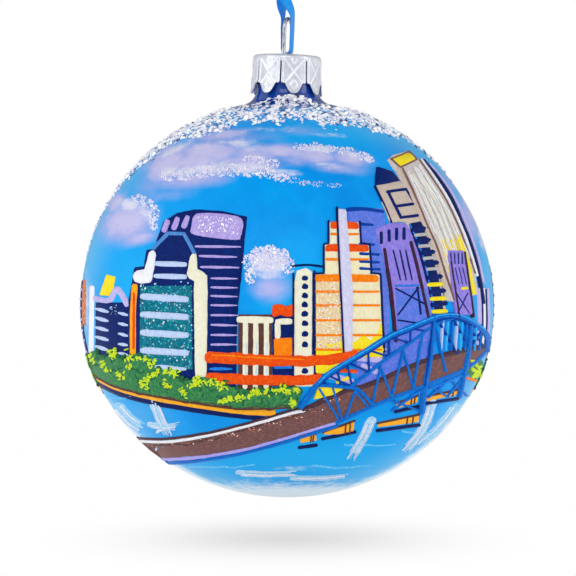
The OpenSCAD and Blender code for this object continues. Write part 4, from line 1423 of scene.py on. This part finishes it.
def paint_bridge():
    p = Painting("picture_bridge")
    p.fill([
        (-36.3, -33), (-29.8, -33.2), (-19.6, -31.8), (-9.4, -29.3), (0.8, -26.2), (4.1, -25.1),
        (13.7, -20.7), (18.8, -19.3), (24.6, -16.9), (31.4, -13.9), (37.9, -11.8), (44.3, -10.3),
        (48.3, -9.8), (48, -11.3), (45, -13.7), (40.9, -16), (34.8, -18.3), (29, -20.6), (21.2, -23.6),
        (12, -28), (0.8, -31.4), (-9.4, -34.2), (-19.6, -36.1), (-30.8, -36.9), (-33.5, -35.5),
    ], "road", 2, wobble=0.1)
    p.line([
        (-36.5, -32), (-29.8, -32.2), (-19.6, -30.8), (-9.4, -28.3), (0.8, -25.3), (4.1, -24.6),
    ], 0.6, "road_edge", 3)
    p.line([
        (-36.3, -32.6), (-29.8, -32.8), (-24.7, -32.3), (-19.6, -31.4), (-14.5, -30.2), (-9.4, -28.9),
        (-4.3, -27.5), (0.8, -26), (4.1, -25.3),
    ], 0.75, "white", 4)
    p.line([
        (-33, -33.6), (-24, -33.2), (-14.5, -31), (-4.3, -28.2), (4.6, -25.6),
    ], 0.45, "bank_brown", 3, wobble=0.35)
    p.line([
        (4.1, -25.1), (13.7, -20.7), (18.8, -19.3), (24.6, -16.9), (31.4, -13.9), (37.9, -11.8),
        (44.3, -10.3), (48.2, -9.8),
    ], 1.3, "road_edge", 4, wobble=0.1)
    p.line([
        (-29.5, -38), (-24.7, -37.8), (-14.5, -36.4), (-4.3, -34), (0.8, -32.5), (7.5, -30.4), (12, -29),
    ], 0.9, "bridge", 3)
    p.line([
        (-30.8, -37), (-24.7, -36.9), (-19.6, -36.3), (-14.5, -35.5), (-9.4, -34.5), (-4.3, -33.1),
        (0.8, -31.6), (7.5, -29.5), (12, -28.2),
    ], 0.75, "rail_lilac", 4)
    p.line([(12, -28.1)] + LOW_CHORD, 1.0, "bridge", 5)
    p.line([(30, -21.6), (36, -19.4), (42, -16.8)], 0.5, "bright_blue", 5)
    for x0, z0, x1, z1 in ((10.4, -16.8, 15.6, -18.4), (17.2, -12.6, 22.4, -13), (18.5, -14.6, 21.5, -15.8)):
        p.line([(x0, z0), (x1, z1)], 1.7, "lilac", 2)
    p.line([(13, -15.6), (16.5, -15.8)], 1.0, "red_orange", 3)
    p.line([(19, -11.8), (23.5, -10.4)], 1.0, "yellow", 3)
    p.line([(12.2, -18.4), (14.8, -17.4)], 0.9, "yellow", 3)
    webs = [
        ((8.6, -17.6), (9.6, -19.2)), ((12, -15.1), (13, -19.4)), ((14.4, -13.6), (15.6, -19.2)),
        ((14.4, -13.6), (19.8, -15.9)), ((19.5, -10.6), (19.8, -15.9)), ((19.5, -10.6), (24.6, -12.2)),
        ((24.6, -7.6), (24.6, -12.2)), ((24.6, -7.6), (29.7, -8.8)), ((29.7, -5.4), (29.7, -8.8)),
        ((29.7, -5.4), (33.4, -6)), ((9.6, -16.6), (15.4, -19.3)),
    ]
    p.lines(webs, 0.6, "bridge_dark", 6)
    p.lines((
        ((16.4, -20.4), (14, -27.2)), ((16.4, -20.4), (19.6, -24.4)), ((22.5, -14.6), (20.5, -23.7)),
        ((22.5, -14.6), (25.2, -21.9)), ((28, -10.6), (25.2, -22)), ((28, -10.6), (30.4, -19.8)),
        ((32.6, -6.8), (30.4, -19.8)), ((11, -19.6), (13.2, -27.4)), ((7.8, -20), (12.6, -27.6)),
        ((35.8, -5), (38.2, -15.6)),
    ), 0.65, "bridge", 7)
    p.line([(7.5, -19), (15.7, -19.7), (17.8, -20.7), (20.8, -23.9)], 1.0, "bridge", 7)
    p.line(INNER_CHORD, 0.9, "bridge", 7)
    p.line(TOP_CHORD, 1.6, "bridge", 8)
    p.line([(x + 0.15, z + 0.35) for x, z in TOP_CHORD[1:-2]], 0.4, "sky_line", 9, wobble=0.05)
    p.line([(x + 0.1, z - 0.65) for x, z in TOP_CHORD[1:-3]], 0.45, "bridge_dark", 8.6, wobble=0.05)
    p.line([(35.3, -2.6), (34.5, -12), (33.5, -18), (32.4, -25.4)], 1.3, "bridge", 9)
    p.line([(34.9, -4), (34.1, -12), (33, -19)], 0.4, "bridge_dark", 9.6)
    p.line([(44.3, -5), (43.6, -12), (41.6, -21.7)], 1.0, "bridge", 9)
    for i in range(9):
        x = 37.6 + 1.15 * i
        p.line([(x, -3.6 - 0.12 * i), (x - 0.5, -10.5)], 0.5, ("pale_blue", "sky_line", "bridge")[i % 3], 7)
    p.lines((
        ((36.8, -4), (41, -11.4)), ((40, -3), (44.2, -10.4)), ((42.5, -3.4), (47.6, -10)),
        ((46.8, -6), (43.8, -10.6)),
    ), 0.5, "bridge_dark", 7)
    p.lines((
        ((24, -22.4), (33, -25.6)), ((25.4, -25.2), (32.8, -20)), ((39, -17.4), (43.4, -21.6)),
        ((39, -21.4), (43.6, -16.4)), ((34, -19), (38.6, -21.8)), ((34.2, -22), (39.2, -17.6)),
    ), 0.6, "bridge", 5)
    made = p.build()
    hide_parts("bridge_relief")
    p = Painting("picture_road_back", around, 2.6)
    lanes = np.linspace(QUARTER - 1.5, 3 * QUARTER + 8, 48)
    share = np.linspace(0, 1, 48)
    mid = [(s, -10.7 - 24 * math.sin(math.pi / 2 * t)) for s, t in zip(lanes, share)]
    p.line(mid, 4.2, "road", 3, wobble=0.1)
    p.line([(s, z + 2.2) for s, z in mid], 0.7, "white", 4)
    p.line([(s, z - 2.2) for s, z in mid], 0.75, "rail_lilac", 4)
    p.line([(s, z - 3) for s, z in mid], 0.9, "bridge", 4)
    for k in range(14):
        s0 = QUARTER + 6 + k * (2 * QUARTER - 8) / 14
        p.line([
            (s0, -33 - rng.uniform(0, 4)), (s0 + rng.uniform(4, 8), -33.4 - rng.uniform(0, 4)),
        ], 0.7, "water_line", 1, 0.4)
    made = p.build()


DECK_EDGE = [
    (-31, -33.6, 3, 0.6), (-25, -33.2, 3, 0.6), (-19, -32.2, 3, 0.6), (-14, -31, 3, 0.6), (-9, -29.7, 3, 0.6),
    (-4, -28.3, 3, 0.6), (1, -26.7, 3, 0.6), (6, -25, 2.6, 0.6), (11, -22.6, 2.6, 0.6),
]


paint_clouds()
paint_buildings()
paint_bank()
paint_water()
paint_bridge()
make_sparkles("deck_sparkle", [sparkle(DECK_EDGE, 170, 0.34, ["copper", "dark", "copper", "pearl"], 3)])


# ---------------------------------------------------------------- cap and wire
CAP_TOP_R = 8.25
CAP_TIP_R = 8.8
SHEET_T = 0.3
CAP_EDGE = 0.8
TABS = 8
CAP_LEAN = math.radians(2.0)
FIRST_SLIT = 35.0
EYE_TURN = 68.0
HOLE_AT = 2.5
HOLE_R = 0.75
WIRE_R = 0.5
NEAR = 1e-6
TAB_GRID = (0.13, 0.15)
DISC_GRID = 0.45
PRESS_H = 0.13  # how far the pressed pattern stands up


def leaning(points):
    """Points of the cap's own frame, 0 at its top, as metres in the row frame."""
    p = np.array(points, float)
    p[:, 2] += CAP_TOP - RIM_Z
    c, s = math.cos(CAP_LEAN), math.sin(CAP_LEAN)
    return in_row(np.stack([p[:, 0] * c + p[:, 2] * s, p[:, 1], RIM_Z - p[:, 0] * s + p[:, 2] * c], 1))


def cap_metal():
    """Thin pressed aluminium, nearly white, with a fine drawn grain, and painted shade that darkens the lows
    beside the raised pattern.
    """
    n = Nodes("cap_aluminium")
    grain = n.noise(2.2, 4, 0.6, (1, 1, 0.25))
    wear = n.noise(0.5, 4, 0.6)
    pits = n.cells(3.5)
    low = n.attribute("pressed")
    base = n.mix(n.span(wear, 0.35, 0.7), srgb(232, 235, 243), srgb(250, 251, 255))
    # Painted shade: darker grey on the tabs' outside except on the raised pattern, in the dish's groove and
    # round the holes.
    base = n.mix(n.times(low, 0.45), base, srgb(150, 155, 172))
    height = n.plus(n.times(grain, 0.5), n.times(pits, 0.4))
    n.set(
        Base_Color=base, Metallic=0.55, Roughness=n.span(grain, 0.3, 0.7, 0.3, 0.46), Specular_IOR_Level=0.5,
        Normal=n.bump(height, 0.06, 0.5),
    )
    return n.material


def tab_outline():
    """One tab with its share of the band above: (arc from the tab's middle, depth below the cap's top)."""
    pitch = 2 * math.pi * CAP_TOP_R / TABS / 2
    slit, valley = 0.16, 1.3
    right = [
        (pitch, 0.0), (pitch, 1.5), (pitch - slit, 1.75), (pitch - slit, 6.6), (pitch - 0.35, 6.95),
        (pitch - valley, 7.15),
    ]
    tip = [(2.0, 7.35), (1.25, 8.75), (0.85, 9.25), (0.35, 9.48), (0, 9.52)]
    half = [p for p in right if p[0] > 1.9] + tip
    return half + [(-x, z) for x, z in half[-2::-1]]


def emboss(s, z):
    """Height of the pressed pattern on a tab: crossed ridges, diamonds between them, ribs by each slit."""
    def ridge(distance, width):
        return np.exp(-((distance / width) ** 2))

    cross, slope = 4.4, 1.35
    lean = math.hypot(1, slope)
    h = np.zeros_like(s)
    for way in (-1, 1):
        h = np.maximum(h, ridge(np.abs(z - cross + way * slope * s) / lean, 0.16) * (np.abs(s) < 2.3))
    for middle, size, top in ((cross + 3.0, 1.1, -1), (cross - 2.9, 0.9, 0.9)):
        diamond = np.abs(s) * slope + np.abs(z - middle)
        h = np.maximum(h, 0.9 * ridge((diamond - size) / lean, 0.14) * (z > top))
    for x in (2.45, 2.9):
        h = np.maximum(h, 0.8 * ridge(np.abs(s) - x, 0.11) * (z < 7.0))
    return h * np.clip((z - 0.75) / 0.5, 0, 1) * np.clip((9.3 - z) / 0.4, 0, 1)


def make_cap():
    outline = evenly(tab_outline(), 0.3)
    low, high = outline.min(0), outline.max(0)
    grid = grid_over(low, high, *TAB_GRID)
    grid[:, 0] += TAB_GRID[0] / 2 * (np.round(grid[:, 1] / TAB_GRID[1]) % 2)
    ok = inside(grid, outline) & (distance_to(grid, outline) > 0.09)
    flat, skin, _ = triangles(np.concatenate([outline, grid[ok]]), len(outline))
    pitch = outline[:, 0].max()
    s, z = flat[:, 0], flat[:, 1]
    press = emboss(s, z)
    round_z = np.where(z < CAP_EDGE, CAP_EDGE * (1 - np.cos(z / CAP_EDGE * math.pi / 2)), z)
    inset = np.where(z < CAP_EDGE, CAP_EDGE * (1 - np.sin(z / CAP_EDGE * math.pi / 2)), 0)
    spread = CAP_TOP_R + (CAP_TIP_R - CAP_TOP_R) * np.clip((z - 3) / 6.5, 0, 1) ** 1.5
    sink = 0.1 * np.clip(1 - (pitch - np.abs(s)) / 0.35, 0, 1) * (z > 1.6)
    edges = dict.fromkeys(side for f in skin for side in zip(f, (*f[1:], f[0])))

    def open_edge(a, b):
        """Whether a border edge is neither the fold at the top nor the seam between two tabs."""
        at_top = z[a] < NEAR and z[b] < NEAR
        at_seam = abs(abs(s[a]) - pitch) < NEAR and abs(abs(s[b]) - pitch) < NEAR
        return not at_top and not (at_seam and max(z[a], z[b]) <= 1.5 + NEAR)

    rim = [(a, b) for a, b in edges if (b, a) not in edges and open_edge(a, b)]
    n = len(flat)
    verts, faces, pressed = [], [], []
    for k in range(TABS):
        turn = math.radians(FIRST_SLIT + 360 / TABS * (k + 0.5)) + s / CAP_TOP_R
        bent = 0.10 * math.sin(2.1 * k + 0.7) * np.clip((z - 6) / 3.5, 0, 1)
        for inner in (0, 1):
            r = spread - inset - sink + bent + PRESS_H * press - SHEET_T * inner
            depth = round_z + (SHEET_T * 0.6 * (z < CAP_EDGE) if inner else 0)
            verts += list(np.stack([r * np.sin(turn), -r * np.cos(turn), -depth], 1))
            # The painted shade's mask: strongest on the outside where the raised pattern isn't.
            pressed += list(0.75 - press if not inner else 0 * press)
            start = (2 * k + inner) * n
            faces += [tuple(v + start for v in (f if inner else f[::-1])) for f in skin]
        start = 2 * k * n
        faces += [(a + start, b + start, b + start + n, a + start + n) for a, b in rim]
    verts = np.array(verts)
    disc_r = CAP_TOP_R - CAP_EDGE
    ring = np.radians(np.arange(0, 360, 2.8125))
    outer = np.stack([disc_r * np.sin(ring), -disc_r * np.cos(ring)], 1)
    eye = math.radians(EYE_TURN)
    holes = []
    for side in (1, -1):
        t = np.radians(np.arange(0, 360, 15))
        c = side * HOLE_AT * np.array([math.cos(eye), math.sin(eye)])
        holes.append(np.stack([c[0] + HOLE_R * np.cos(t), c[1] + HOLE_R * np.sin(t)], 1))
    grid = grid_over((-disc_r, -disc_r), (disc_r, disc_r), DISC_GRID, DISC_GRID)
    ok = np.linalg.norm(grid, axis=1) < disc_r - 0.2
    for hole in holes:
        ok &= ~inside(grid, hole) & (distance_to(grid, hole) > 0.15)
    flat, faces_found, _ = triangles(np.concatenate([outer] + holes + [grid[ok]]), len(outer))
    top = [
        f for f in faces_found if not any(inside(flat[list(f)].mean(0)[None], hole)[0] for hole in holes)
    ]
    r = np.linalg.norm(flat, axis=1)
    dish = -0.12 * np.exp(-((r - 5.6) / 0.5) ** 2) + 0.05 * np.exp(-(r / 3) ** 2)
    for hole in holes:
        dish -= 0.14 * np.exp(-((distance_to(flat, hole) / 0.3) ** 2))
    start = len(verts)
    m = len(flat)
    verts = np.concatenate([
        verts, np.column_stack([flat, dish]), np.column_stack([flat, dish - SHEET_T])
    ])
    # Painted shade in the dish's groove and round the wire's holes.
    pressed += list(np.clip(-dish * 6, 0, 1)) * 2
    faces += [tuple(v + start for v in f) for f in top]
    faces += [tuple(v + start + m for v in f[::-1]) for f in top]
    made = new_object("cap_pressed", leaning(verts), faces, [cap_metal()])
    set_layer(made, "pressed", "FLOAT", np.clip(np.array(pressed), 0, 1))
    join_seams(made)
    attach(made, "cap")
    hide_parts("cap")


def join_seams(made):
    """Joins points that lie on one another."""
    mesh = bmesh.new()
    mesh.from_mesh(made.data)
    bmesh.ops.remove_doubles(mesh, verts=mesh.verts, dist=0.00002)
    mesh.to_mesh(made.data)
    mesh.free()


def wire_material():
    n = Nodes("wire_steel")
    drawn = n.noise(1.4, 4, 0.6, (1, 1, 6))
    stain = n.noise(0.6, 3)
    n.set(
        Base_Color=n.mix(n.span(stain, 0.35, 0.7), srgb(196, 198, 206), srgb(150, 152, 162)), Metallic=0.9,
        Roughness=n.span(drawn, 0.3, 0.7, 0.2, 0.36), Normal=n.bump(drawn, 0.03, 0.4),
    )
    return n.material


def make_wire():
    """The eye, two straight legs through the cap, a bend outwards and the sprung ends inside the neck."""
    arc_z, leg_low, bend_r, spread = 6.5, -5.5, 6.0, math.radians(8)
    path = [
        (HOLE_AT * math.cos(a), arc_z + HOLE_AT * math.sin(a)) for a in np.radians(np.arange(90, -1, -7.5))
    ]
    path += [(HOLE_AT, z) for z in (5, 3, 1, -1, -3, leg_low)]
    for a in np.linspace(0, spread, 5)[1:]:
        path.append((HOLE_AT + bend_r * (1 - math.cos(a)), leg_low - bend_r * math.sin(a)))
    end = path[-1]
    for d in (6, 12, 17.8):
        path.append((end[0] + d * math.sin(spread), end[1] - d * math.cos(spread)))
    path = [(-x, z) for x, z in path[:0:-1]] + path
    path = catmull(path, 0.5)
    eye = math.radians(EYE_TURN)
    centres = np.stack([path[:, 0] * math.cos(eye), path[:, 0] * math.sin(eye), path[:, 1]], 1)
    along = unit(np.gradient(centres, axis=0))
    out = np.array([-math.sin(eye), math.cos(eye), 0.0])
    up = np.cross(along, out)
    t = np.radians(np.arange(0, 360, 22.5))
    k = len(t)
    size = np.ones(len(centres)) * WIRE_R
    size[0] = size[-1] = WIRE_R * 0.75
    verts = (
        centres[:, None] + size[:, None, None] * (
            np.cos(t)[None, :, None] * out + np.sin(t)[None, :, None] * up[:, None])
    ).reshape(-1, 3)
    faces = [
        (i * k + j, (i + 1) * k + j, (i + 1) * k + (j + 1) % k, i * k + (j + 1) % k)
        for i in range(len(centres) - 1) for j in range(k)
    ]
    faces += [tuple(range(k)), tuple((len(centres) - 1) * k + j for j in range(k - 1, -1, -1))]
    made = new_object("hanger_wire_bent", leaning(verts), faces, [wire_material()])
    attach(made, "hanger")
    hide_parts("hanger_wire")


make_cap()
make_wire()


# ---------------------------------------------------------------- ribbon
# The route repeats the CAD's: height above the cap, X of the loop's middle, half the distance between the
# two strands, and the turn of the ribbon's width about the vertical axis in degrees.
RIBBON_W = 3.0
RIBBON_T = 0.3
FOLD_R = 1.1
FOLD_Z = 1.7
LOOP_TOP = 60.8
ROUTE = [
    (FOLD_Z, 0, FOLD_R, EYE_TURN), (4, 0.05, 1.15, EYE_TURN), (6.5, 0.1, 1.2, EYE_TURN), (9.7, 0.1, 1.25, 66),
    (11.5, -0.3, 1.35, 45), (13.5, -0.8, 1.2, 20), (15.5, -1.1, 0.9, 5), (18, -1.2, 0.75, 0),
    (20, -1.2, 0.7, 0), (25, -1.1, 0.7, 0), (30, -1, 0.7, 0), (35, -0.8, 0.7, 0), (40, -0.6, 0.8, 0),
    (44, -0.4, 1.2, 0), (48, -0.2, 2.1, 0), (52, -0.1, 3.1, 0), (55, 0, 3.5, 0), (57.5, 0, 3.1, 0),
    (59.5, 0, 2, 0), (LOOP_TOP, 0, 0.9, 0),
]
TAIL = [(0.3, -0.1, 3.0), (1.2, 0, 4.6), (3, -0.3, 7), (5, -0.6, 9.5), (6.6, -0.8, 12.5), (7.4, -0.8, 16)]
LOOP_CUT = 28.5


def smooth_rows(rows, keys, at):
    """Rows of numbers carried smoothly through the values at, along keys (Catmull-Rom)."""
    rows, keys, at = np.array(rows, float), np.array(keys, float), np.array(at, float)
    slopes = np.gradient(rows, keys, axis=0)
    i = np.clip(np.searchsorted(keys, at, side="right") - 1, 0, len(keys) - 2)
    gap = keys[i + 1] - keys[i]
    t = ((at - keys[i]) / gap)[:, None]
    gap = gap[:, None]
    return (
        (2 * t**3 - 3 * t**2 + 1) * rows[i] + (t**3 - 2 * t**2 + t) * gap * slopes[i]
        + (3 * t**2 - 2 * t**3) * rows[i + 1] + (t**3 - t**2) * gap * slopes[i + 1]
    )


def strand_places(z0, z1, side, spacing=0.35):
    """Centres in the row frame in millimetres, and directions of the width, of one strand from z0 to z1."""
    at = np.linspace(z0, z1, max(2, int(abs(z1 - z0) / spacing)))
    x, half, turn = smooth_rows([r[1:] for r in ROUTE], [r[0] for r in ROUTE], at).T
    turn = np.radians(turn)
    centres = np.stack([x + side * half * np.sin(turn), -side * half * np.cos(turn), at - DROP], 1)
    return centres, np.stack([np.cos(turn), np.sin(turn), 0 * turn], 1)


def fold_places():
    """The half turn of the ribbon inside the wire's eye."""
    t = np.radians(np.arange(12, 169, 12))
    turn = math.radians(EYE_TURN)
    s = -FOLD_R * np.cos(t)
    centres = np.stack([s * math.sin(turn), -s * math.cos(turn), FOLD_Z - DROP - FOLD_R * np.sin(t)], 1)
    return centres, np.tile([math.cos(turn), math.sin(turn), 0.0], (len(t), 1))


def joined(*places):
    return np.concatenate([p[0] for p in places]), np.concatenate([p[1] for p in places])


def backwards(place):
    return place[0][::-1], place[1][::-1]


def ribbon_section(width, thick, steps=10):
    """The outline across the ribbon: (across, up) in millimetres, with a thicker woven edge."""
    across = np.linspace(-1, 1, steps + 1)
    edge = 0.30 * np.clip((np.abs(across) - 0.86) / 0.10, 0, 1) * (np.abs(across) < 0.99)
    half = thick * (0.36 + edge) * np.where(np.abs(across) > 0.99, 0.4, 1.0)
    crown = 0.10 * (1 - across**2)
    top = np.stack([across * width / 2, crown + half], 1)
    bottom = np.stack([across * width / 2, crown - half], 1)[::-1]
    return np.concatenate([top, bottom])


def ribbon_mesh(name, place, material, width=RIBBON_W, widths=None):
    """A ribbon swept along place = (centres, width directions), closed at both ends."""
    centres, wide = place
    n = len(centres)
    along = unit(np.gradient(centres, axis=0))
    up = unit(np.cross(along, wide))
    section = ribbon_section(width, RIBBON_T)
    k = len(section)
    scale = np.ones(n) if widths is None else np.array(widths)
    verts = (
        centres[:, None] + wide[:, None] * section[None, :, :1] * scale[:, None, None]
        + up[:, None] * section[None, :, 1:]
    ).reshape(-1, 3) * MM
    faces = [
        (i * k + j, i * k + (j + 1) % k, (i + 1) * k + (j + 1) % k, (i + 1) * k + j)
        for i in range(n - 1) for j in range(k)
    ]
    faces += [tuple(range(k - 1, -1, -1)), tuple((n - 1) * k + j for j in range(k))]
    made = new_object(name, verts, faces, [material])
    travelled = np.concatenate([[0], np.cumsum(np.linalg.norm(np.diff(centres, axis=0), axis=1))])
    flat = np.zeros((n, k, 3))
    flat[:, :, 0] = section[None, :, 0]
    flat[:, :, 1] = travelled[:, None]
    set_layer(made, "weave", "FLOAT_VECTOR", flat)
    return made


def satin_material():
    """Blue satin: a close weave across the ribbon, a soft sheen and darker selvedges."""
    n = Nodes("ribbon_satin")
    weave = n.attribute("weave", "Vector")
    threads = n.add("ShaderNodeTexWave", {
        "Vector": weave, "Scale": 1.1, "Distortion": 0.6, "Detail": 2.0, "Detail Scale": 3.0
    }, wave_type="BANDS", bands_direction="Y").outputs["Fac"]
    slubs = n.add("ShaderNodeTexNoise", {
        "Vector": n.add("ShaderNodeMapping", {"Vector": weave, "Scale": (0.5, 6.0, 1.0)}).outputs[0],
        "Scale": 1.0, "Detail": 2.0
    }).outputs["Fac"]
    across = n.math("ABSOLUTE", n.add("ShaderNodeSeparateXYZ", {0: weave}).outputs[0])
    edge = n.span(across, RIBBON_W / 2 - 0.35, RIBBON_W / 2 - 0.2)
    tone = n.span(slubs, 0.3, 0.7)
    body = n.mix(tone, srgb(0, 138, 232), srgb(10, 166, 250))
    body = n.mix(n.times(threads, 0.25), body, srgb(0, 110, 205))
    n.set(
        Base_Color=n.mix(n.times(edge, 0.55), body, srgb(0, 100, 195)),
        Roughness=n.span(threads, 0, 1, 0.34, 0.5), Specular_IOR_Level=0.25,
        Sheen_Weight=0.1, Sheen_Roughness=0.4, Anisotropic=0.5,
        Normal=n.bump(n.plus(threads, n.times(slubs, 0.6)), 0.03, 0.6),
    )
    n.shader.inputs["Sheen Tint"].default_value = (0.5, 0.8, 1.0, 1.0)
    return n.material


def make_knot(material):
    """An overhand knot: the ribbon wound once round both strands, tucked and pulled tight."""
    middle = np.array([0.0, 0.0, 2.9])
    t = np.radians(np.arange(-20, 381, 8))
    swell = 1 + 0.10 * np.sin(2 * t + 0.6)
    wrap = middle + np.stack([
        1.95 * swell * np.cos(t), 1.45 * swell * np.sin(t), 0.75 * np.cos(t + 0.5) + 0.25 * np.sin(2 * t)
    ], 1)
    lean = unit(np.stack([0.35 * np.sin(t), 0.1 * np.cos(t), np.ones_like(t)], 1))
    outer = ribbon_mesh("ribbon_knot_wrap", (wrap, lean), material, widths=0.92 + 0.08 * np.cos(3 * t))
    t = np.radians(np.arange(0, 361, 10))
    core = middle + np.stack([
        1.25 * np.cos(t), 0.9 * np.sin(t), 0.35 * np.sin(2 * t)
    ], 1)
    lean = unit(np.stack([0.15 * np.sin(2 * t), 0 * t, np.ones_like(t)], 1))
    inner = ribbon_mesh("ribbon_knot_core", (core, lean), material, widths=1.1 + 0 * t)
    return [outer, inner]


def make_ribbon():
    material = satin_material()
    low = joined(
        backwards(strand_places(FOLD_Z, LOOP_CUT, -1)), fold_places(), strand_places(FOLD_Z, LOOP_CUT, 1)
    )
    heights = low[0][:, 2] + DROP
    narrow = np.interp(heights, [0, 4, 9, 14], [0.84, 0.88, 0.95, 1.0])
    loop = ribbon_mesh("ribbon_loop", low, material, widths=narrow)
    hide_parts("ribbon_fold")
    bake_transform(loop)
    knot = make_knot(material)
    for piece in knot:
        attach(piece, "ribbon_top")
    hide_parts("ribbon_knot")
    for side, name in ((1, "ribbon_front_strand"), (-1, "ribbon_back_strand")):
        keys = np.linspace(0, 1, len(TAIL))
        tail = smooth_rows(TAIL, keys, np.linspace(0, 1, 40)) * [side, 1, 1]
        up = strand_places(LOOP_CUT, LOOP_TOP, side)
        into = np.linspace(0, 1, 12)[1:-1, None]
        through = up[0][-1] * (1 - into) + tail[0] * into
        centres = np.concatenate([up[0], through, tail])
        steps = len(through) + len(tail)
        share = np.linspace(0, 1, steps)[:, None]
        share = np.minimum(1, share * 3)
        wide = unit(np.concatenate([up[1], (1 - share) * [1, 0, 0] + share * [0.94, 0.0, -0.34 * side]]))
        pinch = np.interp(centres[:, 2], [-6, 0.5, 3, 5, 9], [1, 0.7, 0.45, 0.75, 1.0])
        strand = ribbon_mesh(name, (centres, wide), material, widths=pinch)
        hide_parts("ribbon_strands", "ribbon_top")
        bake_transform(strand)


make_ribbon()
